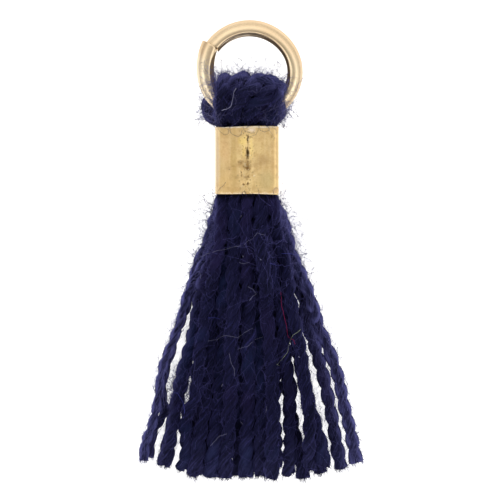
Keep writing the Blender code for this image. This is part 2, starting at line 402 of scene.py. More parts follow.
MARKS = tuple(Mark(*values) for values in (
    # Painted shade: the first two marks darken the seam's two openings, where the gap is deep.
    (0.03, 1.00, 0.060, 0.24, 0.85, "6c4c1a"),
    (0.02, 0.33, 0.115, 0.32, 1.00, "3a280c"),
    (0.01, -0.28, 0.21, 0.32, 0.75, "96733f"),
    (0.02, -0.06, 0.050, 0.09, 0.60, "6a4826"),
    (0.02, -0.37, 0.11, 0.13, 0.65, "6f4c2c"),
    (-0.31, -0.08, 0.17, 0.13, 0.60, "8a683a"),
    (-0.28, -0.56, 0.050, 0.10, 0.75, "604520"),
    (-0.26, -0.72, 0.045, 0.08, 0.60, "6b4c25"),
    (-0.83, -0.44, 0.035, 0.04, 0.70, "5f4a20"),
    (-0.17, -1.14, 0.07, 0.09, 0.80, "5f4120"),
    (0.04, -1.10, 0.06, 0.10, 0.85, "553818"),
    (0.78, 0.00, 0.42, 0.34, 0.30, "a47e50"),
    (0.95, -0.95, 0.55, 0.60, 0.35, "bfb07c"),
    (0.18, -0.04, 0.035, 0.07, 0.60, "6a5028"),
    (-0.22, 0.80, 0.035, 0.04, 0.50, "7d6430"),
    (-0.18, 0.62, 0.045, 0.04, 0.55, "6d5226"),
    (-0.07, 0.60, 0.035, 0.05, 0.60, "6d5226"),
    (1.34, -1.42, 0.14, 0.16, 0.50, "b08f78"),
    (1.18, 1.12, 0.05, 0.09, 0.55, "8a6c36"),
    (0.36, 0.36, 0.030, 0.03, 0.55, "7d6430"),
    (-0.03, -0.80, 0.17, 0.09, 0.50, "8a6a40"),
    (-0.49, -0.80, 0.12, 0.10, 0.35, "9a7a48"),
    (-0.65, -0.28, 0.09, 0.06, 0.45, "a5824a"),
    (0.46, -1.20, 0.030, 0.04, 0.60, "6a5028"),
    (0.12, -1.42, 0.050, 0.04, 0.55, "7a5c34"),
    (-0.36, -0.98, 0.035, 0.04, 0.50, "6f5430"),
    (-0.44, -0.71, 0.030, 0.03, 0.55, "705428"),
    (0.25, -0.52, 0.025, 0.03, 0.50, "7a6234"),
    (0.09, -1.35, 0.040, 0.04, 0.65, "6a4b28"),
    (-0.06, -1.24, 0.025, 0.03, 0.55, "6f5028"),
    (-0.12, -0.46, 0.025, 0.03, 0.55, "7a5c30"),
    (0.14, -0.92, 0.025, 0.03, 0.50, "7a5c30"),
    # Painted highlights: a small white glint and a pale streak.
    (0.33, -0.74, 0.035, 0.03, 0.50, "fff6e2"),
    (0.25, -0.42, 0.07, 0.26, 0.45, "f6dca6"),
    (0.62, -0.70, 0.16, 0.05, 0.30, "a58a5a"),
    # Painted highlight near the upper rim.
    (0.22, 1.42, 0.24, 0.13, 0.75, "ffecd8"),
    (-0.20, 0.92, 0.26, 0.32, 0.60, "ffe08a"),
    (0.22, 0.62, 0.12, 0.70, 0.60, "ffe296"),
    (-0.15, 0.40, 0.11, 0.34, 0.50, "ffe08a"),
    (-1.05, 0.55, 0.30, 0.80, 0.30, "f4c998"),
    (-0.62, 0.00, 0.17, 1.90, 0.36, "c4a35e"),
    (-0.95, -0.95, 0.40, 0.60, 0.30, "f4d08c"),
    (0.42, 1.15, 0.40, 0.30, 0.30, "f5d79c"),
    (1.22, -0.20, 0.14, 1.20, 0.30, "d9b07a"),
    # Painted highlights: bright lines along the upper and lower rims.
    (-0.10, 1.565, 2.60, 0.045, 0.75, "fff6e4"),
    (0.10, -1.575, 2.60, 0.035, 0.60, "fff0d6"),
    # Painted reflection: the rounded left and right sides turn duller tans.
    (-1.46, 0.00, 0.24, 2.60, 0.98, "cdb899"),
    (1.47, 0.00, 0.13, 2.60, 0.90, "c9ad80"),
))


class WornGold(Finish):
    """Rolled sheet with a worn satin gold face, browned and pitted beside its seam, with
    painted shade in the seam's openings and painted highlights and reflections.
    """

    name = "worn_gold_sheet"
    pit_width = 0.08

    def __init__(self, front_z: float, marks: Sequence[Mark] = MARKS) -> None:
        """Keep what the finish needs to know of the band.

        Args:
            front_z: The height above which a face belongs to the front.
            marks: The marks on the front.
        """
        super().__init__()
        self.front_z = front_z
        self.marks = marks

    def mark(self, make: TreeMaker, across: Value, along: Value, mark: Mark) -> Value:
        """Return a mark's share: its depth in the middle, fading to 0 at its ragged rim.

        Args:
            make: The maker of the finish's node tree.
            across: The surface's x in millimetres, a little uneven.
            along: The surface's y in millimetres, a little uneven.
            mark: The mark.

        Returns:
            The share of the mark's colour.
        """
        x = (across - mark.x) / mark.half_width
        y = (along - mark.y) / mark.half_height
        return make.step(make.distance(x, y), 1.15, 0.25) * mark.depth

    def paint(self, make: TreeMaker, shader: bpy.types.Node) -> None:
        """Lay uneven gold, fine mottling, the marks by the seam, among them painted highlights,
        shade and reflections, and small dark pits.

        Args:
            make: The maker of the finish's node tree.
            shader: The shader that the nodes feed.
        """
        self.fix(shader, Metallic=1.0)
        place = make.surface_place()
        x, y, z = make.split(place)
        cloud = make.noise(place, 750.0, 3.0)
        mottle = make.noise(place, 5200.0, 3.0, 0.65)
        grain = make.noise(place, 15000.0, 2.0, 0.6)
        streak = make.noise(make.combine(x * 8000.0, y * 900.0, z * 8000.0), 1.0, 2.0)
        gold = make.mix(make.step(cloud, 0.35, 0.65), srgb("f1d498"), srgb("e3c38c"))
        front = make.maths("GREATER_THAN", z, self.front_z)
        warp = (mottle - 0.5) * 0.16
        across = x / MM + warp
        along = y / MM + (grain - 0.5) * 0.10 + warp
        layers = [(make.step(mottle, 0.40, 0.70) * 0.6, "d3ae70"),
                  (make.step(streak, 0.40, 0.80) * 0.28, "fbe3b2"),
                  (make.step(grain, 0.55, 0.80) * 0.6, "b98f52")]
        pitted = front * 0.0
        for mark in self.marks:
            share = self.mark(make, across, along, mark) * front
            layers.append((share, mark.colour))
            if mark.half_width < self.pit_width:
                pitted = pitted + share
        near_seam = make.step(make.maths("ABSOLUTE", x / MM), 0.55, 0.05) * front
        specks = make.step(make.noise(place, 8000.0, 1.0), 0.61, 0.69) * near_seam
        flakes = make.step(make.noise(place, 6500.0, 1.0, 0.5, 0.6), 0.36, 0.31) * near_seam
        smudges = make.step(make.noise(place, 2200.0, 3.0, 0.6), 0.52, 0.72) * front
        layers += [(specks * 0.6, "82602e"), (flakes * 0.35, "fff0c8"),
                   (smudges * 0.30, "b08a5c")]
        for share, colour in layers:
            gold = make.mix(share, gold, srgb(colour))
        relief = streak * 0.08 + mottle * 0.40 + grain * 0.12 - pitted.limited() * 0.9
        fine = make.tipped(relief, 0.5, 0.015 * MM)
        self.feed(make, shader, Base_Color=gold,
                  Roughness=0.38 + 0.14 * cloud + 0.16 * pitted.limited(),
                  Normal=make.tipped(cloud, 0.5, 0.10 * MM, Normal=fine))


@dataclass(frozen=True)
class Dye:
    """The colours of one lot of yarn: deep, middle and lit fibres; a pale navy, painted as light on
    its sides and head and laid on its cut ends; a paler one painted as light on the strands'
    flanks; the painted shadow by the band's rims; and its uneven takes."""

    deep: str = "07081a"
    middle: str = "181838"
    light: str = "313163"
    pale_navy: str = "44446e"
    flank_lit: str = "56568e"
    shaded: str = "030308"
    blue_take: str = "182042"
    violet_take: str = "241d41"


class CottonYarn(Finish):
    """Soft cotton yarn: fibres that run along each twisted ply, dyed navy."""

    name = "navy_cotton_yarn"

    def __init__(self, dye: Dye, fibre_turn: float) -> None:
        """Keep what the finish needs to know of the yarn.

        Args:
            dye: Its colours.
            fibre_turn: How far the fibres turn round a ply in each metre of it.
        """
        super().__init__()
        self.dye = dye
        self.fibre_turn = fibre_turn

    def paint(self, make: TreeMaker, shader: bpy.types.Node) -> None:
        """Draw fibres out along the ply and vary the dye between strands; paint light on the
        tassel's sides and the strands' flanks, paint shadow by the band's rims, and make the cut
        ends and the head paler.

        Args:
            make: The maker of the finish's node tree.
            shader: The shader that the nodes feed.
        """
        self.fix(shader, Sheen_Weight=0.22, Sheen_Roughness=0.45, Sheen_Tint=srgb("8a8af0"),
                 Specular_IOR_Level=0.05)
        place = make.surface_place()
        along, strand = make.from_mesh("along"), make.from_mesh("strand")
        fibres = self.fibres(make, along, strand)
        colour = self.dyed(make, fibres, along, strand, place)
        outward = make.vector("NORMALIZE", make.vector("SUBTRACT", place,
                                                       make.from_mesh("core", "Vector")))
        _, _, crest = make.split(outward)
        _, y, _ = make.split(place)
        drawn = make.step(fibres + (make.noise(place, 6000.0, 2.0) - 0.5) * 0.3, 0.38, 0.68)
        # Painted light: the tassel's sides and its head turn pale navy, most where the yarn faces
        # up.
        side = painted_side_light(make, place)
        lit = 0.4 + 0.6 * make.step(crest, -0.1, 0.4)
        # Painted light: on the tassel's sides, the strands' flanks between crest and side turn paler
        # still, standing for light through their fuzz.
        painted_flank_light = make.step(crest, 0.95, 0.62) * make.step(crest, 0.05, 0.40)
        painted_flank_light = painted_flank_light * (0.35 + 0.45 * make.step(y, 1.5 * MM, -1.5 * MM)
                       + 0.15 * make.step(y, -9.0 * MM, -6.0 * MM))
        # Paler towards the cut ends, and a little paler over the head.
        paler_ends_and_head = make.step(y, -12.4 * MM, -14.5 * MM) * (0.05 + 0.24 * drawn)
        paler_ends_and_head = paler_ends_and_head + make.step(y, 1.8 * MM, 2.5 * MM) * (0.04 + 0.08 * drawn)
        # Painted shadow: the yarn next to the band's rims is darkened almost to black.
        painted_band_shadow = make.step(make.maths("ABSOLUTE", y), 1.90 * MM, 1.70 * MM)
        for share, tone in ((side * lit * (0.04 + 0.80 * drawn), self.dye.pale_navy),
                            (side * painted_flank_light, self.dye.flank_lit), (paler_ends_and_head, self.dye.pale_navy),
                            (painted_band_shadow * 0.85, self.dye.shaded)):
            colour = make.mix(share, colour, srgb(tone))
        self.feed(make, shader, Base_Color=colour, Roughness=0.72 + 0.2 * fibres,
                  Normal=make.tipped(fibres, 0.8, 0.03 * MM))

    def fibres(self, make: TreeMaker, along: Value, strand: Value) -> Value:
        """Return a pattern of fibres that turn round each ply.

        Args:
            make: The maker of the finish's node tree.
            along: How far along its strand a point lies, in metres.
            strand: The strand's number.

        Returns:
            The pattern, from 0 to 1.
        """
        round_x, round_y, _ = make.split(make.from_mesh("round", "Vector"))
        turn = along * self.fibre_turn
        sine, cosine = make.maths("SINE", turn), make.maths("COSINE", turn)
        across = make.combine(round_x * cosine - round_y * sine,
                              round_x * sine + round_y * cosine,
                              along * 260.0 + strand * 7.3)
        return make.noise(across, 2.6, 4.0, 0.7, 0.5)

    def dyed(self, make: TreeMaker, fibres: Value, along: Value, strand: Value,
             place: Value) -> Value:
        """Return the yarn's colour before wear: each strand took the dye a little unevenly.

        Args:
            make: The maker of the finish's node tree.
            fibres: The pattern of fibres.
            along: How far along its strand a point lies, in metres.
            strand: The strand's number.
            place: Where the point lies.

        Returns:
            The colour.
        """
        take = make.noise(make.combine(strand * 3.1, along * 330.0, 0.0), 1.0, 2.0)
        cloud = make.noise(place, 1100.0, 2.0)
        colour = make.mix(make.step(fibres, 0.35, 0.66), srgb(self.dye.deep),
                          srgb(self.dye.middle))
        colour = make.mix(make.step(take, 0.52, 0.72) * 0.52, colour, srgb(self.dye.violet_take))
        colour = make.mix(make.step(take, 0.46, 0.30) * 0.75, colour, srgb(self.dye.blue_take))
        return make.mix(make.step(fibres + (cloud - 0.5) * 0.4, 0.58, 0.84), colour,
                        srgb(self.dye.light))


def painted_side_light(make: TreeMaker, place: Value) -> Value:
    """Return where light is painted on the yarn: on the tassel's sides and over its head.

    Args:
        make: The maker of a finish's node tree.
        place: Where the shaded point lies.

    Returns:
        1 on the tassel's sides, 0 in its middle.
    """
    x, y, _ = make.split(place)
    half_width = make.maths("MAXIMUM", y * -0.29 + 1.05 * MM, 1.75 * MM)
    top = (y - 0.9 * MM) / (3.1 * MM)
    across = make.maths("ABSOLUTE", x - 0.03 * MM)
    share = make.maths("MAXIMUM", across / half_width, top)
    return make.step(share + (make.noise(place, 700.0, 2.0) - 0.5) * 0.16, 0.72, 1.04)


class LooseFibre(Finish):
    """Single cotton fibres, whose colour changes a little from one to the next."""

    def __init__(self, name: str, dark: str, pale: str, pale_navy: str | None = None) -> None:
        """Name the finish and keep its colours.

        Args:
            name: Its name.
            dark: The colour of its darkest fibres.
            pale: The colour of its palest ones.
            pale_navy: The pale colour painted as light on the tassel's sides, if that is another
                one.
        """
        super().__init__()
        self.name = name
        self.dark = dark
        self.pale = pale
        self.pale_navy = pale_navy or pale

    def paint(self, make: TreeMaker, shader: bpy.types.Node) -> None:
        """Vary the dye by the fibre's own number and along its length, and paint light on the
        tassel's sides with the pale navy colour.

        Args:
            make: The maker of the finish's node tree.
            shader: The shader that the nodes feed.
        """
        self.fix(shader, Sheen_Weight=0.08, Sheen_Tint=srgb("8482d8"), Specular_IOR_Level=0.05)
        place = make.surface_place()
        fleck = make.noise(place, 5000.0, 1.0)
        share = (make.from_mesh("tint") * 0.85 + (fleck - 0.5) * 0.5).limited()
        # Painted light: fibres on the tassel's sides take the pale navy colour.
        pale = make.mix(painted_side_light(make, place), srgb(self.pale), srgb(self.pale_navy))
        self.feed(make, shader, Base_Color=make.mix(share, srgb(self.dark), pale),
                  Roughness=0.55 + 0.3 * fleck)


class PaleFloor(Finish):
    """Plain white card."""

    name = "white_card"

    def paint(self, make: TreeMaker, shader: bpy.types.Node) -> None:
        """Set one pale colour that glows a little, so that the table is evenly white.

        Args:
            make: Not used.
            shader: The shader that is set.
        """
        self.fix(shader, Base_Color=(0.60, 0.60, 0.60, 1.0), Roughness=1.0,
                 Specular_IOR_Level=0.0, Emission_Color=(1.0, 1.0, 1.0, 1.0),
                 Emission_Strength=1.02)


# ------------------------------------------------------------------ meshes

def loft(bm: bmesh.types.BMesh, rings: Sequence[Sequence[Vector]]) -> None:
    """Skin a row of closed rings with equally many points, and close both ends.

    Args:
        bm: The mesh that the faces go into.
        rings: The rings in order.
    """
    rows = [[bm.verts.new(point) for point in ring] for ring in rings]
    count = len(rows[0])
    for lower, upper in zip(rows, rows[1:]):
        for i in range(count):
            j = (i + 1) % count
            bm.faces.new((lower[i], lower[j], upper[j], upper[i]))
    for end in (rows[0], rows[-1]):
        bm.faces.new(end)


def mesh_object(name: str, bm: bmesh.types.BMesh, finish: Finish,
                sharp_deg: float = 40.0) -> bpy.types.Object:
    """Make a smooth object with its faces outwards.

    Args:
        name: The object's name.
        bm: Its mesh, which is used up.
        finish: Its finish.
        sharp_deg: The angle past which an edge stays sharp.

    Returns:
        The object.
    """
    bmesh.ops.recalc_face_normals(bm, faces=bm.faces[:])
    mesh = bpy.data.meshes.new(name)
    bm.to_mesh(mesh)
    bm.free()
    mesh.shade_smooth()
    mesh.set_sharp_from_angle(angle=math.radians(sharp_deg))
    mesh.materials.append(finish.material)
    return placed(name, mesh)


def placed(name: str, data: bpy.types.ID) -> bpy.types.Object:
    """Put a mesh, a curve, a light or a camera into the scene.

    Args:
        name: The new object's name.
        data: What it shows.

    Returns:
        The object, at the origin.
    """
    thing = bpy.data.objects.new(name, data)
    bpy.context.scene.collection.objects.link(thing)
    return thing


def finish_piece(thing: bpy.types.Object, slot: Slot, *nodes: str) -> bpy.types.Object:
    """Let a piece ride on the root, and hide the nodes of the CAD model that it stands for.

    Args:
        thing: The piece.
        slot: Not used.
        nodes: The nodes of the CAD model that it replaces.

    Returns:
        The same piece.
    """
    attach(thing, ROOT)
    if nodes:
        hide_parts(*nodes)
    return thing


def bump(value: float, middle: float, width: float) -> float:
    """Return a smooth bump of height 1 about a middle value."""
    return math.exp(-((value - middle) / width) ** 2)


# ------------------------------------------------------------------ jump ring

@dataclass
class JumpRing:
    """A round wire bent to a ring, lying on the surface and rising into the yarn."""

    outer: float = 5.04 * MM
    wire: float = 0.74 * MM
    centre_x: float = 0.14 * MM
    reach_y: float = 6.72 * MM
    high_z: float = 1.30 * MM
    joint_deg: float = 146.0
    joint_gap: float = 0.012 * MM
    joint_step: float = 0.20 * MM
    joint_fade_deg: float = 48.0
    end_rounding: float = 0.022 * MM
    crest_shift: float = 0.21
    far_shift: float = 0.42
    press: float = 0.30
    press_fade_deg: float = 78.0
    flattened: float = 0.035 * MM
    flattened_deg: float = 45.0
    flattened_spread_deg: float = 32.0
    steps: int = 170
    sides: int = 32

    @property
    def radius(self) -> float:
        """Radius of the wire's middle line."""
        return (self.outer - self.wire) / 2

    @property
    def tilt(self) -> float:
        """How far the ring leans, in radians."""
        return math.asin((self.high_z - self.wire / 2) / (2 * self.radius))

    @property
    def centre(self) -> Vector:
        """The ring's middle."""
        return Vector((self.centre_x,
                       self.reach_y - self.wire / 2 - self.radius * math.cos(self.tilt),
                       (self.wire / 2 + self.high_z) / 2))

    def section(self, angle: float, radius: float, wire_radius: float,
                press: float) -> list[Vector]:
        """Return the wire's section at one angle, flatter on the bend's outer side.

        Args:
            angle: Where the section lies, from +X towards +Y.
            radius: How far the wire's middle line runs from the ring's middle there.
            wire_radius: The wire's own radius there.
            press: How much further the wire bulges inwards, as a share of its radius.

        Returns:
            The section's points.
        """
        outward = Vector((math.cos(angle), math.sin(angle), 0.0))
        up = Vector((0.0, 0.0, 1.0))
        shift = self.crest_shift + self.far_shift * max(0.0, math.sin(angle))
        points = []
        for k in range(self.sides):
            turn = math.tau * k / self.sides
            cosine, sine = math.cos(turn), math.sin(turn)
            across = cosine - shift * sine * sine
            across *= 1 + press if across < 0 else 1
            points.append(outward * radius + wire_radius * (across * outward + sine * up))
        return points

    def build(self) -> bpy.types.Object:
        """Sweep the wire once round from its joint, with lightly rounded cut ends.

        Returns:
            The ring.
        """
        start = math.radians(self.joint_deg) + self.joint_gap / 2 / self.radius
        whole = math.tau - self.joint_gap / self.radius
        fade = math.radians(self.joint_fade_deg)
        nib = self.end_rounding / self.radius
        swept = [0.0, nib * 0.35, nib]
        swept += [nib + (whole - 2 * nib) * k / self.steps for k in range(1, self.steps)]
        swept += [whole - nib, whole - nib * 0.35, whole]
        rings = []
        for angle in swept:
            step = self.joint_step * max(0.0, 1 - angle / fade) ** 2
            from_end = min(angle, whole - angle) / nib
            inset = self.end_rounding * (1 - math.sqrt(max(0.0, 1 - max(0.0, 1 - from_end) ** 2)))
            press = self.press * max(0.0, 1 - (angle / math.radians(self.press_fade_deg)) ** 3)
            flat = self.flattened * bump(math.degrees(start + angle) - 360.0,
                                         self.flattened_deg, self.flattened_spread_deg)
            rings.append(self.section(start + angle, self.radius + step - flat,
                                      self.wire / 2 - inset, press))
        bm = bmesh.new()
        loft(bm, rings)
        bm.transform(Matrix.Translation(self.centre) @ Matrix.Rotation(-self.tilt, 4, "X"))
        thing = mesh_object("ring_wire", bm, PolishedBrass(self))
        return finish_piece(thing, Slot.RING, "jump_ring")


# ------------------------------------------------------------------ crimp band

@dataclass
class CrimpBand:
    """A strip of thin sheet folded round the yarn, its ends meeting in front.

    Each opening of the seam is a y, a reach and a depth. Each nick is an x, a y, half a
    width, half a height and a depth. Both are in millimetres.
    """

    width: float = 3.00 * MM
    length: float = 3.20 * MM
    depth: float = 2.60 * MM
    sheet: float = 0.20 * MM
    bend: float = 0.26 * MM
    seam_x: float = 0.05 * MM
    seam_gap: float = 0.003 * MM
    rim: float = 0.05 * MM
    first_row: float = 0.4
    around_step: float = 0.06 * MM
    along_steps: int = 52
    bend_steps: int = 9
    end_gap: float = 1e-6 * MM
    seam_reach: float = 0.12 * MM
    seam_wobble: float = 0.030 * MM
    rim_wave: float = 0.016 * MM
    rim_lean: float = 0.012
    openings: tuple[tuple[float, float, float], ...] = ((0.33, 0.18, 0.020), (0.99, 0.16, 0.014))
    nicks: tuple[tuple[float, float, float, float, float], ...] = (
        (-0.28, -0.60, 0.06, 0.12, 0.030), (-0.18, -1.12, 0.06, 0.10, 0.030),
        (0.06, -1.10, 0.05, 0.11, 0.030), (-0.31, -0.06, 0.14, 0.10, 0.025),
        (1.40, -1.45, 0.18, 0.20, 0.060))

    def outline(self, inset: float) -> list[tuple[float, float]]:
        """Return the fold's line, from one side of the seam round to the other.

        Args:
            inset: How far inside the outer face the line runs.

        Returns:
            Its points in x and z.
        """
        half, radius = self.width / 2 - inset, self.bend - inset
        low, high = inset, self.depth - inset
        corners = ((half - radius, high - radius, 90.0), (half - radius, low + radius, 0.0),
                   (-half + radius, low + radius, -90.0), (-half + radius, high - radius, -180.0))
        stops = [(self.seam_x, high)]
        for x, z, start in corners:
            for k in range(self.bend_steps + 1):
                angle = math.radians(start - 90.0 * k / self.bend_steps)
                stops.append((x + radius * math.cos(angle), z + radius * math.sin(angle)))
        stops.append((self.seam_x, high))
        points = [stops[0]]
        for first, second in zip(stops, stops[1:]):
            count = max(1, round(math.dist(first, second) / self.around_step))
            for k in range(1, count + 1):
                share = k / count
                points.append((first[0] + (second[0] - first[0]) * share,
                               first[1] + (second[1] - first[1]) * share))
        return points

    def seam_opening(self, y: float) -> float:
        """Return half the width of the seam's gap.

        Args:
            y: The place along the band.

        Returns:
            The half width, ragged where the seam stands open.
        """
        mm = y / MM
        ragged = 0.022 * noise.noise(Vector((mm * 13.0, 3.7, 0.0)))
        opened = sum(depth * bump(mm, middle, reach) for middle, reach, depth in self.openings)
        ragged *= 0.3 + 0.7 * min(1.0, opened / 0.012)
        return self.seam_gap / 2 + max(0.0, opened + ragged) * MM

    def dent(self, x: float, y: float) -> float:
        """Return how deep the front is pressed in: along the seam, in nicks and in waves.

        Args:
            x: The place across the band.
            y: The place along it.

        Returns:
            The depth.
        """
        mx, my = x / MM, y / MM
        wander = self.seam_x / MM + 0.04 * noise.noise(Vector((my * 2.0, 8.1, 0.0)))
        pressed = 0.030 * bump(mx, wander, 0.15) * (0.2 + 1.0 * bump(my, 0.5, 0.6))
        nicked = sum(depth * bump(mx, middle_x, reach_x) * bump(my, middle_y, reach_y)
                     for middle_x, middle_y, reach_x, reach_y, depth in self.nicks)
        wavy = 0.022 * noise.noise(Vector((mx * 1.1, my * 0.9, 1.3)))
        return (pressed + nicked + wavy) * MM

    def place(self, x: float, y: float, z: float, inward: bool) -> Vector:
        """Work the seam, the dents and the wavy rims into a point of the plain fold.

        Args:
            x: The point's place across the band.
            y: Its place along the band.
            z: Its height.
            inward: Whether it is on the inner face.

        Returns:
            The point's own place.
        """
        front = z > self.depth - self.bend
        if front and abs(x - self.seam_x) < 0.5 * MM:
            side = 1.0 if x >= self.seam_x else -1.0
            near = bump(x, self.seam_x, self.seam_reach)
            wobble = self.seam_wobble * noise.noise(Vector((y / MM * 4.5, 11.3, 0.0)))
            x += (side * self.seam_opening(y) + wobble) * near
        if front:
            z -= self.dent(x, y)
        wave = self.rim_wave * math.sin(x / MM * 2.1 + 0.8) if front else 0.0
        lean = self.rim_lean * x * math.copysign(1.0, y)
        y += (wave + lean) * abs(y) / (self.length / 2)
        return Vector((x, y, max(z, 0.0) if not inward else z))

    def ring(self, y: float) -> list[Vector]:
        """Return the sheet's section: round the outer face, then back round the inner one.

        Args:
            y: The place along the band; near a rim both faces are rounded inwards.

        Returns:
            The section's points.
        """
        from_rim = (self.length / 2 - abs(y)) / self.rim
        inset = self.rim * 0.5 * max(0.0, 1 - from_rim) ** 2
        points = []
        for line, inward in ((self.outline(inset), False),
                             (self.outline(self.sheet - inset)[::-1], True)):
            for k, (x, z) in enumerate(line):
                if k in (0, len(line) - 1):
                    x = self.seam_x + (self.end_gap if (k == 0) != inward else -self.end_gap)
                points.append(self.place(x, y, z, inward))
        return points

    def build(self) -> bpy.types.Object:
        """Skin the sheet's sections from the lower rim to the upper one.

        Returns:
            The band.
        """
        half = self.length / 2
        rows = [-half + self.length * k / self.along_steps for k in range(self.along_steps + 1)]
        rows[1:1] = [-half + self.rim * self.first_row]
        rows[-1:-1] = [half - self.rim * self.first_row]
        bm = bmesh.new()
        loft(bm, [self.ring(y) for y in rows])
        thing = mesh_object("band_sheet", bm, WornGold(self.depth - self.bend), sharp_deg=50.0)
        return finish_piece(thing, Slot.BAND, "crimp_band")


# ------------------------------------------------------------------ yarn making

GuideLine = list[tuple[Vector, float]]


def guide_object(name: str, lines: Sequence[GuideLine]) -> bpy.types.Object:
    """Draw guide lines as the splines of one curve.

    Args:
        name: The curve's name.
        lines: The guide lines, each a row of points with their thickness.

    Returns:
        The curve object.
    """
    curve = bpy.data.curves.new(name, "CURVE")
    curve.dimensions = "3D"
    for line in lines:
        spline = curve.splines.new("POLY")
        spline.points.add(len(line) - 1)
        for point, (place, thickness) in zip(spline.points, line):
            point.co = (*place, 1.0)
            point.radius = thickness
    return placed(name, curve)


class NodeTool:
    """A Geometry Nodes tree with named inputs, applied to an object to make a plain mesh."""

    def __init__(self, name: str) -> None:
        """Start a tree with geometry in and out.

        Args:
            name: The tree's name.
        """
        self.group = bpy.data.node_groups.new(name, "GeometryNodeTree")
        self.make = TreeMaker(self.group)
        self.keys: dict[str, str] = {}
        self._socket("Geometry", "NodeSocketGeometry", "INPUT")
        self._socket("Geometry", "NodeSocketGeometry", "OUTPUT")
        self.inlet = None

    def _socket(self, name: str, kind: str, side: str,
                start: float | int | None = None) -> str:
        """Add a socket to the tree's interface.

        Args:
            name: The socket's name.
            kind: Its type.
            side: INPUT or OUTPUT.
            start: Its starting value.

        Returns:
            Its identifier.
        """
        socket = self.group.interface.new_socket(name=name, in_out=side, socket_type=kind)
        if start is not None:
            socket.default_value = start
        return socket.identifier

    def declare(self, **inputs: float | int | None) -> None:
        """Add the tree's named inputs.

        Args:
            inputs: Each input's starting value; None stands for a material.
        """
        kinds = {int: "NodeSocketInt", float: "NodeSocketFloat"}
        for name, start in inputs.items():
            kind = kinds.get(type(start), "NodeSocketMaterial")
            self.keys[name] = self._socket(name, kind, "INPUT", start)
        self.inlet = self.make.node("NodeGroupInput")

    def given(self, name: str) -> Value:
        """Return one of the tree's inputs as a value."""
        return Value(self.make, self.inlet.outputs[name])

    def keep(self, geometry: Value, name: str, value: Value, kind: str = "FLOAT") -> Value:
        """Keep a value on the geometry's points under a name."""
        return self.make.value("GeometryNodeStoreNamedAttribute", {
            "data_type": kind, "domain": "POINT"},
            {"Geometry": geometry, "Name": name, "Value": value})

    def kept(self, name: str, kind: str = "FLOAT") -> Value:
        """Return a value that the geometry keeps under a name."""
        return self.make.value("GeometryNodeInputNamedAttribute", {"data_type": kind},
                               {"Name": name})

    def per_spline(self, value: Value) -> Value:
        """Work a value out once for each spline."""
        return self.make.value("GeometryNodeFieldOnDomain", {
            "data_type": "FLOAT", "domain": "CURVE"}, (value,))

    def scaled(self, vector: Value, size: Operand) -> Value:
        """Stretch a vector by a number."""
        return self.make.vector("SCALE", vector, size)

    def place(self) -> Value:
        """Return where a point of the geometry lies."""
        return self.make.value("GeometryNodeInputPosition")

    def moved(self, geometry: Value, offset: Value) -> Value:
        """Move the geometry's points."""
        return self.make.value("GeometryNodeSetPosition", None, {
            "Geometry": geometry, "Offset": offset})

    def lifted(self, geometry: Value, place: Value) -> Value:
        """Lift what lies below the tree's input floor up to it.

        Args:
            geometry: The geometry.
            place: Where its points lie.

        Returns:
            The geometry, with no point under the floor.
        """
        x, y, z = self.make.split(place)
        kept = self.make.combine(x, y, self.make.maths("MAXIMUM", z, self.given("floor")))
        return self.make.value("GeometryNodeSetPosition", None, {
            "Geometry": geometry, "Position": kept})

    def smooth_guides(self) -> Value:
        """Return the guide lines as smooth curves with points at the tree's input step."""
        smooth = self.make.value("GeometryNodeCurveSplineType", {"spline_type": "CATMULL_ROM"},
                                 {"Curve": self.given("Geometry")})
        return self.make.value("GeometryNodeResampleCurve", {"mode": "LENGTH"}, {
            "Curve": smooth, "Length": self.given("step")})

    def circle(self, sides: Operand) -> Value:
        """Return a round section of radius 1 m, which a tube's size then shrinks."""
        return self.make.value("GeometryNodeCurvePrimitiveCircle", None, {
            "Resolution": sides, "Radius": 1.0})

    def tube(self, curve: Value, section: Value, size: Value) -> Value:
        """Sweep a section along a curve and close its ends."""
        return self.make.value("GeometryNodeCurveToMesh", None, {
            "Curve": curve, "Profile Curve": section, "Scale": size, "Fill Caps": True})

    def end(self, geometry: Value) -> None:
        """Smooth and realize the geometry, and give it the tree's input material.

        Args:
            geometry: What the tree has made.
        """
        smooth = self.make.value("GeometryNodeSetShadeSmooth", None, {"Geometry": geometry})
        real = self.make.value("GeometryNodeRealizeInstances", None, (smooth,))
        dressed = self.make.value("GeometryNodeSetMaterial", None, {
            "Geometry": real, "Material": self.given("material")})
        self.make.node("NodeGroupOutput", None, (dressed,))

    def run(self, source: bpy.types.Object, name: str,
            settings: Mapping[str, object]) -> bpy.types.Object:
        """Run the tree on an object and return its result as a plain mesh object.

        Args:
            source: The object that the tree works on; it is removed afterwards.
            name: The new piece's name.
            settings: Values for the tree's inputs, by name.

        Returns:
            The new object, at the origin, with no modifiers.
        """
        modifier = source.modifiers.new(self.group.name, "NODES")
        modifier.node_group = self.group
        for key, value in settings.items():
            modifier[self.keys[key]] = value
        source.update_tag()
        bpy.context.view_layer.update()
        graph = bpy.context.evaluated_depsgraph_get()
        mesh = bpy.data.meshes.new_from_object(source.evaluated_get(graph))
        bpy.data.objects.remove(source, do_unlink=True)
        mesh.name = name
        return placed(name, mesh)


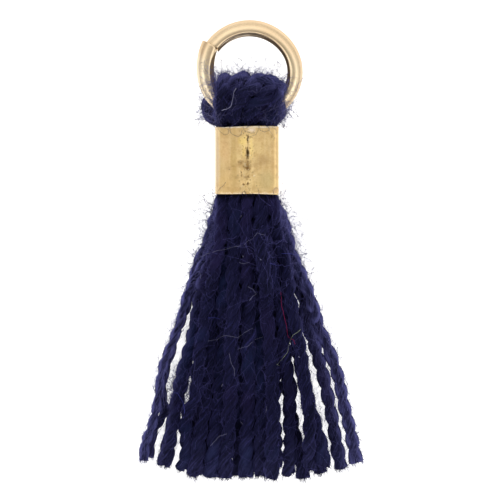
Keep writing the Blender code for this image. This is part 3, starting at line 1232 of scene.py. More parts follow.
class YarnTwister(NodeTool):
    """Lays twisted plies along guide lines."""

    blunt_from = 0.9 * MM
    blunt_full = 0.1 * MM
    tail_from = 0.30 * MM
    tail_full = 0.05 * MM
    blunt_draw = 0.30
    blunt_swell = 0.12
    loose_waves = 420.0
    loose_turn = 4.0
    drift_waves = 500.0
    lump_waves = 900.0

    def __init__(self) -> None:
        """Build the tree."""
        super().__init__("twist_yarn")
        self.declare(plies=2, pitch=1.68 * MM, ply_radius=0.205 * MM, ply_offset=0.115 * MM,
                     step=0.09 * MM, sides=8, slub=0.14, wander=0.04 * MM, seed=1,
                     floor=0.01 * MM, material=None)
        make = self.make
        self.strand, self.ply = self.kept("strand"), self.kept("ply")
        self.thick = make.value("GeometryNodeInputRadius")
        self.length = make.value("GeometryNodeSplineParameter", output="Length")
        left = self.per_spline(make.value("GeometryNodeSplineLength")) - self.length
        self.blunt = make.step(left, self.blunt_from, self.blunt_full)
        self.tangent = make.value("GeometryNodeInputTangent")
        plies = self._plies()
        for name, value, kind in (
                ("along", self.length, "FLOAT"),
                ("tail", make.step(left, self.tail_from, self.tail_full), "FLOAT"),
                ("run", self.tangent, "FLOAT_VECTOR"), ("core", self.place(), "FLOAT_VECTOR")):
            plies = self.keep(plies, name, value, kind)
        section = self.keep(self.circle(self.given("sides")), "round", self.place(),
                            "FLOAT_VECTOR")
        tube = self.tube(self.moved(plies, self._winding()), section, self._size())
        self.end(self.lifted(tube, self.place()))

    def _plies(self) -> Value:
        """Number the guide lines, and copy each once for every ply.

        Returns:
            The copies, which keep the numbers of their strand and their ply.
        """
        numbered = self.keep(self.smooth_guides(), "strand",
                             self.per_spline(self.make.value("GeometryNodeInputIndex")))
        copies = self.make.node("GeometryNodeDuplicateElements", {"domain": "SPLINE"}, {
            "Geometry": numbered, "Amount": self.given("plies")})
        copy = self.per_spline(Value(self.make, copies.outputs["Duplicate Index"]))
        return self.keep(Value(self.make, copies.outputs["Geometry"]), "ply", copy)

    def _apart(self, *shifts: Operand) -> Value:
        """Return the point's place, shifted so that no two strands share their noise."""
        return self.make.vector("ADD", self.place(), self.make.combine(*shifts))

    def _winding(self) -> Value:
        """Wind a ply round its guide line, a little loosely.

        Returns:
            How far its points lie off the line.
        """
        make = self.make
        first = make.value("FunctionNodeRandomValue", {"data_type": "FLOAT"}, {
            "Min": 0.0, "Max": math.tau, "ID": self.strand, "Seed": self.given("seed")})
        loose = make.noise(self._apart(self.strand * 0.013, 0.0, 0.0), self.loose_waves, 1.0)
        angle = (self.length / self.given("pitch") + self.ply / self.given("plies")) * math.tau
        angle = angle + first + (loose - 0.5) * self.loose_turn
        normal = make.value("GeometryNodeInputNormal")
        side = make.vector("CROSS_PRODUCT", self.tangent, normal)
        reach = self.given("ply_offset") * self.thick * (1.0 - self.blunt_draw * self.blunt)
        offset = make.vector("ADD", self.scaled(normal, make.maths("COSINE", angle) * reach),
                             self.scaled(side, make.maths("SINE", angle) * reach))
        drift = make.drift(self._apart(0.0, self.strand * 0.017, 0.0), self.drift_waves)
        return make.vector("ADD", offset, self.scaled(drift, self.given("wander") * 2.0))

    def _size(self) -> Value:
        """Make a ply lumpy, and a little swollen at its cut end.

        Returns:
            Its radius.
        """
        lumps = self.make.noise(self._apart(0.0, 0.0, self.strand * 0.011 + self.ply * 0.007),
                                self.lump_waves, 2.0)
        return self.given("ply_radius") * self.thick * (
            1.0 + (lumps - 0.5) * 2.0 * self.given("slub")) * (
            1.0 + self.blunt_swell * self.blunt)

    def twist(self, name: str, lines: Sequence[GuideLine], finish: Finish,
              **settings: float) -> bpy.types.Object:
        """Twist yarn along guide lines.

        Args:
            name: The piece's name.
            lines: One guide line for each strand.
            finish: The yarn's finish.
            settings: Other values for the tree's inputs.

        Returns:
            The yarn as one mesh.
        """
        return self.run(guide_object(name + "_guides", lines), name,
                        {"material": finish.material, **settings})


class FuzzGrower(NodeTool):
    """Grows fine curly fibres from the open parts of a yarn's surface."""

    ray_start = 0.03 * MM
    number_step = 1.7
    tip_thinning = 0.5

    def __init__(self) -> None:
        """Build the tree."""
        super().__init__("grow_fuzz")
        self.declare(density=1.0e7, shortest=0.15 * MM, longest=0.7 * MM, favour_short=2.0,
                     lift=0.6, follow=0.8, stray=0.6, droop=0.0, curl=0.3 * MM, waves=1300.0,
                     thickness=0.010 * MM, points=6, open_reach=0.9 * MM, underside=0.35,
                     steep=-0.3, full_y=0.0, thin_y=-1.0 * MM, thin_share=1.0,
                     lowest_y=-1.0, highest_y=1.0, topside=1.0, flank=0.45,
                     tuft_x=0.0, tuft_y=0.0, tuft_size=0.001, tuft_boost=0.0,
                     tail_boost=0.0, tail_trim=0.6, seed=1, floor=0.02 * MM, material=None)
        self._shape(self._plant(self._openness()))

    def _random(self, low: Operand, high: Operand, seed_step: float, kind: str = "FLOAT",
                **number: Value) -> Value:
        """Return a random number or vector for each element, or for each ID given."""
        return self.make.value("FunctionNodeRandomValue", {"data_type": kind}, {
            "Min": low, "Max": high, "Seed": self.given("seed") + seed_step, **number})

    def _openness(self) -> Value:
        """Mark how open each point of the surface is: 0 where other yarn lies close above.

        Returns:
            The surface, which keeps the mark under the name open.
        """
        make = self.make
        normal = make.value("GeometryNodeInputNormal")
        ray = make.node("GeometryNodeRaycast", {"data_type": "FLOAT"}, {
            "Target Geometry": self.given("Geometry"),
            "Source Position": make.vector("ADD", self.place(), self.scaled(normal, self.ray_start)),
            "Ray Direction": normal, "Ray Length": self.given("open_reach")})
        clear = 1.0 - Value(make, ray.outputs["Is Hit"])
        _, _, up = make.split(normal)
        share = self.given("underside") + (1.0 - self.given("underside")) \
            * make.step(up - self.given("steep"), -0.3, 0.3)
        outward = make.vector("NORMALIZE", make.vector("SUBTRACT", self.place(),
                                                       self.kept("core", "FLOAT_VECTOR")))
        _, _, crest = make.split(outward)
        share = share * (1.0 - (1.0 - self.given("topside"))
                         * make.step(crest, self.given("flank") - 0.5, self.given("flank")))
        x, y, _ = make.split(self.place())
        down = ((y - self.given("full_y"))
                / (self.given("thin_y") - self.given("full_y"))).limited()
        share = share * (1.0 - down * (1.0 - self.given("thin_share")))
        share = share * make.maths("GREATER_THAN", y, self.given("lowest_y")) \
            * make.maths("LESS_THAN", y, self.given("highest_y"))
        from_tuft = make.distance(x - self.given("tuft_x"), y - self.given("tuft_y"))
        tuft = make.step(from_tuft / self.given("tuft_size"), 1.0, 0.3)
        more = 1.0 + self.kept("tail") * self.given("tail_boost") \
            + tuft * self.given("tuft_boost")
        return self.keep(self.given("Geometry"), "open", clear * share * more)

    def _plant(self, surface: Value) -> Value:
        """Stand a straight line for each fibre on the surface.

        Args:
            surface: The surface, marked with its openness.

        Returns:
            The lines.
        """
        make = self.make
        spread = make.node("GeometryNodeDistributePointsOnFaces", None, {
            "Mesh": surface, "Density": self.given("density") * self.kept("open"),
            "Seed": self.given("seed")})
        points = self.keep(Value(make, spread.outputs["Points"]), "up",
                           Value(make, spread.outputs["Normal"]), "FLOAT_VECTOR")
        side = make.maths("SIGN", self._random(-1.0, 1.0, 3.0) + self.kept("tail") * 2.0)
        stray = self._random((-1.0, -1.0, -1.0), (1.0, 1.0, 1.0), 4.0, "FLOAT_VECTOR")
        aim = make.vector("ADD", self.scaled(self.kept("up", "FLOAT_VECTOR"), self.given("lift")),
                          self.scaled(stray, self.given("stray")))
        aim = make.vector("ADD", aim, self.scaled(self.kept("run", "FLOAT_VECTOR"),
                                                  side * self.given("follow")))
        turn = make.value("FunctionNodeAlignRotationToVector", {"axis": "Z"}, {"Vector": aim})
        chance = self._random(0.0, 1.0, 5.0) ** self.given("favour_short")
        length = self.given("shortest") + (self.given("longest") - self.given("shortest")) * chance
        length = length * (1.0 - self.kept("tail") * self.given("tail_trim"))
        line = make.value("GeometryNodeCurvePrimitiveLine", None, {"End": (0.0, 0.0, 1.0)})
        line = make.value("GeometryNodeResampleCurve", {"mode": "COUNT"}, {
            "Curve": line, "Count": self.given("points")})
        standing = make.value("GeometryNodeInstanceOnPoints", None, {
            "Points": points, "Instance": line, "Rotation": turn,
            "Scale": make.combine(length, length, length)})
        return make.value("GeometryNodeRealizeInstances", None, (standing,))

    def _shape(self, fibres: Value) -> None:
        """Number, bend and thicken the fibres.

        Args:
            fibres: A straight line for each fibre.
        """
        make = self.make
        number = self.per_spline(make.value("GeometryNodeInputIndex"))
        tinted = self.keep(fibres, "tint", self._random(0.0, 1.0, 9.0, ID=number))
        share = make.value("GeometryNodeSplineParameter", output="Factor")
        swirl = make.drift(self.place(), self.given("waves"), number=number * self.number_step)
        bend = self.scaled(swirl, self.given("curl") * 4.0
                           * make.maths("SQRT", share) * (0.4 + 0.6 * share))
        fall = self.scaled(self.kept("up", "FLOAT_VECTOR"),
                           -1.0 * self.given("droop") * share * share)
        bent = self.lifted(self.moved(tinted, make.vector("ADD", bend, fall)), self.place())
        self.end(self.tube(bent, self.circle(3),
                           self.given("thickness") * (1.0 - self.tip_thinning * share)))

    def grow(self, name: str, surface: bpy.types.Mesh, finish: Finish,
             **settings: float) -> bpy.types.Object:
        """Grow fibres from a surface, which isn't changed.

        Args:
            name: The piece's name.
            surface: The mesh that they grow from.
            finish: The fibres' finish.
            settings: Other values for the tree's inputs.

        Returns:
            The fibres as one mesh.
        """
        return self.run(placed(name + "_source", surface.copy()), name,
                        {"material": finish.material, **settings})


# ------------------------------------------------------------------ the skirt of strands

@dataclass(frozen=True)
class Strand:
    """One strand: its root's column and row, its x halfway down, and its cut end's place.

    Each sway is a y, a shift and a reach. All lengths are in millimetres.
    """

    column: int
    row: int
    middle_x: float
    end_x: float
    end_y: float
    girth: float = 1.05
    sway: tuple[tuple[float, float, float], ...] = ()


STRANDS = tuple(Strand(*values) for values in (
    (0, 2, -4.00, -4.85, -14.20, 0.76, ((-6.3, 0.08, 0.9), (-9.6, -0.23, 1.3),
                                        (-13.4, -0.15, 0.6))),
    (0, 1, -3.92, -4.70, -14.05, 0.78, ((-9.8, -0.20, 1.4), (-11.95, 0.34, 0.65),
                                        (-12.9, -0.10, 0.7))),
    (0, 0, -3.12, -3.97, -14.42, 1.05, ((-8.5, 0.09, 0.9),)),
    (0, 3, -3.18, -3.86, -14.28, 1.05, ((-5.6, -0.06, 0.6), (-8.5, 0.09, 0.9))),
    (0, 4, -2.37, -3.02, -14.60, 1.06, ((-11.05, 0.15, 0.55), (-12.3, -0.12, 0.7),
                                        (-13.9, 0.16, 0.7))),
    (1, 0, -2.10, -2.50, -14.96, 1.05),
    (1, 2, -1.90, -2.48, -14.80, 1.12, ((-7.5, 0.07, 0.8),)),
    (1, 3, -1.40, -1.62, -14.95, 1.15, ((-13.6, 0.08, 0.8),)),
    (1, 1, -1.60, -2.02, -14.80, 1.10),
    (1, 4, -0.86, -1.18, -14.95, 1.15),
    (2, 0, -1.05, -0.84, -15.00, 1.10),
    (2, 2, -0.35, -0.36, -14.90, 1.12),
    (2, 1, 0.30, 0.20, -14.70),
    (2, 4, 0.14, 0.10, -14.96, 1.12),
    (2, 3, 0.67, 0.55, -14.94, 1.12),
    (3, 0, 0.90, 0.92, -14.60),
    (3, 4, 1.22, 1.19, -14.98, 1.12, ((-12.3, 0.04, 0.9),)),
    (3, 1, 1.20, 1.30, -14.50, 1.05, ((-11.6, -0.16, 1.3),)),
    (3, 3, 1.84, 2.05, -14.84, 1.05, ((-7.6, 0.07, 1.2), (-12.3, -0.07, 0.9))),
    (3, 2, 1.88, 2.57, -15.05),
    (4, 4, 2.76, 3.10, -14.66, 1.05, ((-6.9, -0.04, 0.7), (-12.0, 0.09, 0.9))),
    (4, 3, 2.74, 3.62, -14.52),
    (4, 0, 2.70, 3.50, -14.82, 0.95),
    (4, 1, 3.74, 4.46, -14.62, 1.05, ((-7.0, -0.04, 0.8), (-11.6, -0.02, 1.0))),
    (4, 2, 4.46, 5.19, -14.30, 1.00, ((-7.7, -0.18, 1.1), (-11.5, -0.08, 1.0))),
))


@dataclass
class Skirt:
    """The strands below the band, which spread, fall and settle on each other.

    Each stop of the throat, inside the band, is a y, the shares of a strand's x and of its
    height off the middle that are left, and its thickness. Each stop of the waist is a y,
    a reach, and the shares by which the left and the right side move out.
    """

    top_y: float = -2.20 * MM
    middle_y: float = -10.67 * MM
    step: float = 0.46 * MM
    root_radius: float = 0.25 * MM
    radius: float = 0.33 * MM
    swell_length: float = 2.4 * MM
    space: float = 0.02 * MM
    columns: int = 5
    column_pitch: float = 0.61 * MM
    row_pitch: float = 0.53 * MM
    settle_rounds: int = 60
    settle_fall: float = 0.012 * MM
    settle_pull: float = 0.20
    touching: float = 1e-9
    shortest_step: float = 0.25
    root_plumpness: float = 0.96
    plumpness_gain: float = 0.04
    end_swell: float = 0.12
    end_swell_reach: float = 1.1 * MM
    throat: tuple[tuple[float, float, float, float], ...] = (
        (-1.00, 0.74, 0.74, 0.66), (-1.58, 0.86, 0.58, 0.90), (-1.88, 0.99, 0.82, 0.97))
    waist: tuple[tuple[float, float, float, float], ...] = (
        (-2.45, 0.40, 0.07, 0.09), (-3.00, 0.80, -0.10, -0.01), (-4.10, 0.70, -0.07, -0.06))
    strands: tuple[Strand, ...] = field(default=STRANDS)

    def root_x(self, strand: Strand) -> float:
        """Return a strand's x where it leaves the neck."""
        return (strand.column - (self.columns - 1) / 2) * self.column_pitch

    def thickness(self, y: float) -> float:
        """Return a strand's radius: squeezed at the band, full further down."""
        share = min(1.0, (self.top_y - y) / self.swell_length)
        return self.root_radius + (self.radius - self.root_radius) * share

    def plumpness(self, y: float, end_y: float) -> float:
        """Return a strand's shown thickness as a share of its full one.

        Args:
            y: The place along the strand.
            end_y: Where its cut end is, which is a little untwisted.

        Returns:
            The share.
        """
        grown = self.root_plumpness + self.plumpness_gain * (self.top_y - y) / self.swell_length
        return min(1.0, grown) + self.end_swell * bump(y, end_y, self.end_swell_reach)

    def handled(self, strand: Strand, place: Vector) -> Vector:
        """Move a place as handling left it: drawn in at the waist, or swayed.

        Args:
            strand: The strand that it is on.
            place: Where the strand settled.

        Returns:
            The new place.
        """
        share = sum((left if place.x < 0 else right) * bump(place.y / MM, y, reach)
                    for y, reach, left, right in self.waist)
        sway = sum(shift * bump(place.y / MM, y, reach) for y, shift, reach in strand.sway)
        return Vector((place.x * (1 + share) + sway * MM, place.y, place.z))

    def wanted_x(self, strand: Strand, y: float) -> float:
        """Return where a strand would run by its root, its middle and its end.

        Args:
            strand: The strand.
            y: The place along it.

        Returns:
            Its x there.
        """
        root = self.root_x(strand)
        middle, end, end_y = strand.middle_x * MM, strand.end_x * MM, strand.end_y * MM
        upper = (middle - root) / (self.middle_y - self.top_y)
        lower = (end - middle) / (end_y - self.middle_y)
        mean = (upper + lower) / 2
        if y > self.middle_y:
            return ease(self.top_y, root, upper, self.middle_y, middle, mean, y)
        return ease(self.middle_y, middle, mean, end_y, end, lower, y)

    def push_apart(self, places: list[list[float]], radius: float) -> None:
        """Move each pair of strands that would touch away from each other.

        Args:
            places: Each strand's x and z, which are changed.
            radius: The strands' radius.
        """
        least = 2 * radius + self.space
        for first, second in combinations(places, 2):
            dx, dz = second[0] - first[0], second[1] - first[1]
            gap = math.hypot(dx, dz)
            if gap < least:
                share = (least - gap) / 2 / max(gap, self.touching)
                first[0] -= dx * share
                first[1] -= dz * share
                second[0] += dx * share
                second[1] += dz * share
        for place in places:
            place[1] = max(place[1], radius)

    def lay(self) -> list[list[Vector]]:
        """Settle the strands row by row, from the band down.

        Returns:
            Each strand's centres, from its root to its cut end.
        """
        places = [[self.root_x(strand), self.root_radius + strand.row * self.row_pitch]
                  for strand in self.strands]
        paths = [[Vector((x, self.top_y, z))] for x, z in places]
        lowest = min(strand.end_y for strand in self.strands) * MM
        for k in range(1, math.ceil((self.top_y - lowest) / self.step) + 1):
            y = self.top_y - k * self.step
            radius = self.thickness(y)
            for _ in range(self.settle_rounds):
                for strand, place in zip(self.strands, places):
                    place[0] += (self.wanted_x(strand, y) - place[0]) * self.settle_pull
                    place[1] -= self.settle_fall
                self.push_apart(places, radius)
            for _ in range(self.settle_rounds):
                self.push_apart(places, radius)
            for path, (x, z) in zip(paths, places):
                path.append(Vector((x, y, z)))
        return [self.cut(path, strand.end_y * MM) for path, strand in zip(paths, self.strands)]

    def cut(self, path: list[Vector], end_y: float) -> list[Vector]:
        """Shorten a path to its cut end.

        Args:
            path: The strand's centres.
            end_y: Where it is cut.

        Returns:
            The centres that are left, with one at the cut.
        """
        kept = [path[0]]
        for first, second in zip(path, path[1:]):
            if second.y > end_y + self.step * self.shortest_step:
                kept.append(second)
            else:
                kept.append(first.lerp(second, (first.y - end_y) / (first.y - second.y)))
                break
        return kept

    def guides(self) -> list[GuideLine]:
        """Draw the strands, which come together where they run up into the band.

        Returns:
            A guide line for each strand.
        """
        lines = []
        middle_z = CrimpBand.depth / 2
        for strand, path in zip(self.strands, self.lay()):
            top, end_y = path[0], path[-1].y
            line = [(Vector((top.x * across, y * MM, middle_z + (top.z - middle_z) * deep)), thick)
                    for y, across, deep, thick in self.throat]
            line += [(self.handled(strand, place), self.plumpness(place.y, end_y))
                     for place in path[1:]]
            lines.append([(place, thick * strand.girth) for place, thick in line])
        return lines


def ease(y0: float, x0: float, slope0: float, y1: float, x1: float, slope1: float,
         y: float) -> float:
    """Follow the cubic curve that joins two points with the slopes given.

    Args:
        y0: Where the curve starts.
        x0: Its x there.
        slope0: Its slope there.
        y1: Where it ends.
        x1: Its x there.
        slope1: Its slope there.
        y: The place asked for.

    Returns:
        The curve's x at y.
    """
    span = y1 - y0
    t = (y - y0) / span
    return ((2 * t**3 - 3 * t**2 + 1) * x0 + (t**3 - 2 * t**2 + t) * span * slope0
            + (3 * t**2 - 2 * t**3) * x1 + (t**3 - t**2) * span * slope1)


# ------------------------------------------------------------------ the folded head

@dataclass(frozen=True)
class Fold:
    """One yarn folded over the ring, in millimetres: where it leaves the band, its thickness
    as a share, its path up the front to its crown, and its path down behind."""

    mouth_x: float
    thickness: float
    front: tuple[tuple[float, float, float], ...]
    back: tuple[tuple[float, float, float], ...]


FOLDS = tuple(Fold(*values) for values in (
    (-1.16, 1.08, ((-1.26, 2.30, 2.58), (-1.17, 3.25, 2.68), (-1.10, 3.62, 2.28),
                   (-1.00, 3.80, 1.50)),
     ((-1.10, 3.62, 0.76), (-1.48, 3.10, 0.39), (-1.90, 2.36, 0.36))),
    (-0.85, 1.05, ((-0.95, 2.35, 2.30), (-0.90, 2.85, 2.42), (-0.78, 3.30, 2.56),
                   (-0.50, 3.66, 2.50), (-0.22, 3.84, 2.05), (-0.15, 3.86, 1.40)),
     ((-0.20, 3.65, 0.80), (-0.60, 3.10, 0.39), (-1.20, 2.50, 0.36))),
    (-0.52, 1.10, ((-0.64, 2.32, 2.62), (-0.36, 2.80, 2.78), (0.05, 3.24, 2.80), (0.38, 3.58, 2.55),
                   (0.50, 3.72, 2.00), (0.45, 3.72, 1.40)),
     ((0.30, 3.55, 0.80), (-0.10, 3.10, 0.39), (-0.50, 2.50, 0.36))),
    (-0.10, 1.08, ((0.12, 2.32, 2.58), (0.56, 2.78, 2.70), (0.90, 3.14, 2.60), (1.02, 3.42, 2.20),
                   (0.95, 3.55, 1.50)),
     ((0.70, 3.40, 0.80), (0.40, 3.00, 0.39), (0.10, 2.50, 0.36))),
    (0.35, 1.00, ((0.52, 2.24, 2.40), (0.86, 2.60, 2.30), (0.92, 3.00, 2.00), (0.80, 3.35, 1.50)),
     ((0.75, 3.20, 0.80), (0.68, 2.90, 0.39), (0.62, 2.50, 0.36))),
    (0.80, 1.05, ((1.00, 2.04, 2.30), (1.26, 2.38, 2.50), (1.38, 2.85, 2.48), (1.38, 3.25, 2.30),
                  (1.46, 3.46, 1.70), (1.50, 3.46, 1.05)),
     ((1.54, 3.25, 0.60), (1.50, 2.90, 0.40), (1.42, 2.45, 0.36))),
    (1.14, 1.00, ((1.32, 2.06, 2.02), (1.46, 2.36, 1.95), (1.48, 2.66, 1.60)),
     ((1.50, 2.78, 1.05), (1.52, 2.60, 0.50), (1.50, 2.30, 0.38))),
    (0.30, 1.02, ((0.38, 2.35, 2.05), (0.16, 3.15, 2.15), (0.36, 3.66, 2.38), (0.78, 3.80, 2.42),
                  (1.14, 3.70, 2.28), (1.34, 3.44, 1.80)),
     ((1.30, 3.20, 1.00), (1.20, 2.90, 0.42), (1.10, 2.50, 0.36))),
    (-0.80, 0.90, ((-1.00, 2.35, 2.05), (-1.00, 2.80, 2.02), (-1.00, 3.24, 1.65),
                   (-1.00, 3.36, 1.40)),
     ((-1.00, 3.18, 0.85), (-1.17, 2.90, 0.78), (-1.35, 2.45, 0.75))),
    (-0.40, 0.90, ((-0.52, 2.35, 2.10), (-0.52, 2.75, 2.09), (-0.47, 3.10, 1.72),
                   (-0.42, 3.22, 1.42)),
     ((-0.42, 3.04, 0.85), (-0.61, 2.84, 0.75), (-0.80, 2.45, 0.72))),
    (0.05, 0.90, ((0.05, 2.35, 2.12), (0.05, 2.70, 2.12), (0.10, 3.00, 1.75), (0.15, 3.12, 1.43)),
     ((0.15, 2.94, 0.85), (0.08, 2.80, 0.75), (0.00, 2.45, 0.72))),
    (0.50, 0.90, ((0.58, 2.35, 2.10), (0.60, 2.70, 2.09), (0.66, 3.02, 1.72), (0.72, 3.14, 1.42)),
     ((0.72, 2.96, 0.85), (0.61, 2.80, 0.75), (0.50, 2.45, 0.72))),
    (0.88, 0.90, ((1.02, 2.35, 2.02), (1.04, 2.60, 1.99), (1.10, 2.90, 1.62), (1.16, 3.02, 1.38)),
     ((1.16, 2.84, 0.85), (1.13, 2.74, 0.78), (1.10, 2.45, 0.75))),
))


@dataclass
class Head:
    """The yarns where they fold over the ring."""

    mouth_y: float = 1.00
    neck_y: float = 1.75
    front_mouth_z: float = 1.95
    back_mouth_z: float = 0.55
    front_drop: float = 0.20
    back_drop: float = 0.05
    mouth_squeeze: float = 0.92
    mouth_thickness: float = 0.78
    neck_thickness: float = 0.86
    folds: tuple[Fold, ...] = field(default=FOLDS)

    def guides(self) -> list[GuideLine]:
        """Draw the folded yarns: up in front, over the ring and down behind.

        Returns:
            A guide line for each yarn.
        """
        lines = []
        for fold in self.folds:
            squeezed_x = fold.mouth_x * self.mouth_squeeze
            stops = (
                (squeezed_x, self.mouth_y, self.front_mouth_z, self.mouth_thickness),
                (fold.mouth_x, self.neck_y, self.front_mouth_z - self.front_drop,
                 self.neck_thickness),
                *((*place, 1.0) for place in fold.front + fold.back),
                (fold.mouth_x, self.neck_y, self.back_mouth_z - self.back_drop,
                 self.neck_thickness),
                (squeezed_x, self.mouth_y, self.back_mouth_z, self.mouth_thickness),
            )
            lines.append([(Vector(stop[:3]) * MM, stop[3] * fold.thickness) for stop in stops])
        return lines


# ------------------------------------------------------------------ yarn pieces

class Fibre(Enum):
    """The looks of the loose navy fibres: a name, and their dark and pale colours and the pale
    navy one painted as light on the tassel's sides.
    """

    NAP = ("navy_nap", "0f0f28", "302f5a", "7474b8")
    FLUFF = ("navy_fluff", "22214c", "56548f", "6a699c")
    # Painted light: the halo fibres on the strands' flanks are coloured paler than the nap, standing
    # for light through the fuzz.
    HALO = ("navy_halo", "2c2b5a", "53528e", "8f8eca")
    GREY = ("grey_navy_fibre", "26254a", "66658c", "8684a6")


class Ground(Enum):
    """The two pieces of yarn that fuzz grows on."""

    STRANDS = "yarn_strands"
    FOLDS = "yarn_folds"


@dataclass(frozen=True)
class Fuzz:
    """One piece of fuzz: its name, what it grows on, its fibre and its tree's inputs."""

    name: str
    ground: Ground
    fibre: Fibre
    settings: Mapping[str, float]


BELOW = {"highest_y": -1.70 * MM}
ABOVE = {"lowest_y": 1.62 * MM}
LYING = {"lift": 0.35, "follow": 1.0, "stray": 0.45, "droop": 0.10 * MM, "points": 5,
         "curl": 0.08 * MM, "thickness": 0.010 * MM, "shortest": 0.25 * MM,
         "longest": 0.9 * MM, "favour_short": 1.3, "steep": 0.2, "underside": 0.25}
CURLY = {"lift": 0.9, "follow": 0.5, "stray": 0.9, "curl": 0.55 * MM, "points": 12,
         "shortest": 0.25 * MM, "longest": 1.50 * MM, "favour_short": 1.6,
         "waves": 3000.0, "thickness": 0.0072 * MM, "steep": -0.6, "topside": 0.03}
SHORT = {"lift": 0.65, "follow": 1.0, "stray": 0.7, "curl": 0.08 * MM, "points": 4,
         "shortest": 0.08 * MM, "longest": 0.30 * MM, "favour_short": 1.3,
         "thickness": 0.0078 * MM, "steep": -0.6, "topside": 0.02, "flank": 0.80}
LONG = {"lift": 0.35, "follow": 0.15, "stray": 1.2, "droop": 0.15 * MM, "points": 14,
        "curl": 0.30 * MM, "waves": 700.0, "thickness": 0.006 * MM,
        "shortest": 1.0 * MM, "longest": 3.2 * MM, "favour_short": 1.5}
BRUSH = {"lift": 0.3, "follow": 1.0, "stray": 0.7, "points": 4, "curl": 0.05 * MM,
         "thickness": 0.011 * MM, "shortest": 0.12 * MM, "longest": 0.32 * MM,
         "tail_trim": 0.0, "underside": 1.0}
CAUGHT = {**CURLY, "lowest_y": 1.75 * MM, "highest_y": 3.2 * MM, "density": 0.22e7,
          "topside": 1.0, "tuft_y": 2.20 * MM, "tuft_size": 0.9 * MM,
          "tuft_boost": 14.0, "longest": 0.9 * MM, "lift": 0.4}
FUZZ = (
    Fuzz("nap_strands", Ground.STRANDS, Fibre.NAP, {
        **LYING, **BELOW, "density": 2.8e7, "seed": 21}),
    Fuzz("nap_folds", Ground.FOLDS, Fibre.NAP, {
        **LYING, **ABOVE, "density": 4.4e7, "stray": 0.6, "longest": 0.75 * MM,
        "thickness": 0.012 * MM, "seed": 22}),
    Fuzz("fluff_upper", Ground.STRANDS, Fibre.FLUFF, {
        **CURLY, **BELOW, "density": 3.2e7, "seed": 23, "tuft_x": 2.55 * MM,
        "tuft_y": -5.0 * MM, "tuft_size": 1.3 * MM, "tuft_boost": 1.2, "topside": 0.015,
        "thickness": 0.0108 * MM, "flank": 0.18, "full_y": -4.6 * MM,
        "thin_y": -7.0 * MM, "thin_share": 0.0}),
    Fuzz("fluff_lower", Ground.STRANDS, Fibre.FLUFF, {
        **CURLY, "density": 1.2e7, "seed": 27, "tuft_x": -3.15 * MM,
        "tuft_y": -10.75 * MM, "tuft_size": 1.2 * MM, "tuft_boost": 18.0,
        "highest_y": -6.0 * MM, "topside": 0.10, "follow": 1.2, "curl": 0.30 * MM}),
    Fuzz("fluff_folds", Ground.FOLDS, Fibre.FLUFF, {
        **CURLY, "lowest_y": 1.9 * MM, "density": 1.8e7, "thickness": 0.0098 * MM,
        "flank": 0.30, "topside": 0.08, "tuft_x": 1.60 * MM, "tuft_y": 2.20 * MM,
        "tuft_size": 1.0 * MM, "tuft_boost": 1.8, "seed": 24}),
    Fuzz("fluff_corner", Ground.FOLDS, Fibre.FLUFF, {
        **CURLY, "lowest_y": 2.9 * MM, "density": 0.4e7, "flank": 0.90,
        "tuft_x": -1.25 * MM, "tuft_y": 3.50 * MM, "tuft_size": 0.8 * MM,
        "tuft_boost": 14.0, "longest": 1.2 * MM, "seed": 31}),
    Fuzz("fluff_lobe", Ground.FOLDS, Fibre.GREY, {**CAUGHT, "tuft_x": -1.60 * MM, "seed": 32}),
    Fuzz("fluff_side", Ground.FOLDS, Fibre.GREY, {**CAUGHT, "tuft_x": 1.50 * MM, "seed": 33}),
    Fuzz("halo_strands", Ground.STRANDS, Fibre.HALO, {
        **SHORT, **BELOW, "density": 6.0e7, "seed": 28}),
    Fuzz("halo_folds", Ground.FOLDS, Fibre.HALO, {
        **SHORT, "lowest_y": 1.7 * MM, "density": 6.0e7, "seed": 29}),
    Fuzz("hair_strands", Ground.STRANDS, Fibre.FLUFF, {
        **LONG, "highest_y": -2.5 * MM, "density": 1.8e6, "seed": 25}),
    Fuzz("cut_ends", Ground.STRANDS, Fibre.NAP, {
        **BRUSH, **BELOW, "density": 0.25e6, "seed": 26, "tail_boost": 260.0}),
)


@dataclass
class YarnWork:
    """All that is yarn: the skirt, the head and the fuzz on both."""

    skirt: Skirt = field(default_factory=Skirt)
    head: Head = field(default_factory=Head)
    pitch: float = 1.68 * MM
    head_pitch: float = 1.1
    head_ply_radius: float = 0.215 * MM
    head_ply_offset: float = 0.150 * MM
    skirt_seed: int = 3
    head_seed: int = 8
    fibre_turn: float = -1500.0
    fuzz: tuple[Fuzz, ...] = FUZZ

    def build(self) -> list[bpy.types.Object]:
        """Twist the strands and the folded yarns, and grow the fuzz on them.

        Returns:
            The strands, the folded yarns and the pieces of fuzz.
        """
        twister = YarnTwister()
        yarn = CottonYarn(Dye(), self.fibre_turn)
        finishes = {fibre: LooseFibre(*fibre.value) for fibre in Fibre}
        strands = twister.twist(Ground.STRANDS.value, self.skirt.guides(), yarn,
                                pitch=self.pitch, seed=self.skirt_seed)
        folds = twister.twist(Ground.FOLDS.value, self.head.guides(), yarn,
                              pitch=self.pitch * self.head_pitch, seed=self.head_seed,
                              ply_radius=self.head_ply_radius, ply_offset=self.head_ply_offset)
        pieces = [finish_piece(thing, Slot.YARN, "yarn") for thing in (strands, folds)]
        surfaces = {Ground.STRANDS: strands.data, Ground.FOLDS: folds.data}
        grower = FuzzGrower()
        for fuzz in self.fuzz:
            grown = grower.grow(fuzz.name, surfaces[fuzz.ground], finishes[fuzz.fibre],
                                **fuzz.settings)
            pieces.append(finish_piece(grown, Slot.YARN))
        return pieces


# ------------------------------------------------------------------ stray fibres

class Lint(Enum):
    """The kinds of single fibre that have caught on the tassel."""

    PALE = "pale"
    BLUISH = "bluish"
    RED = "red"
    GREEN = "green"
    NAVY = "navy"


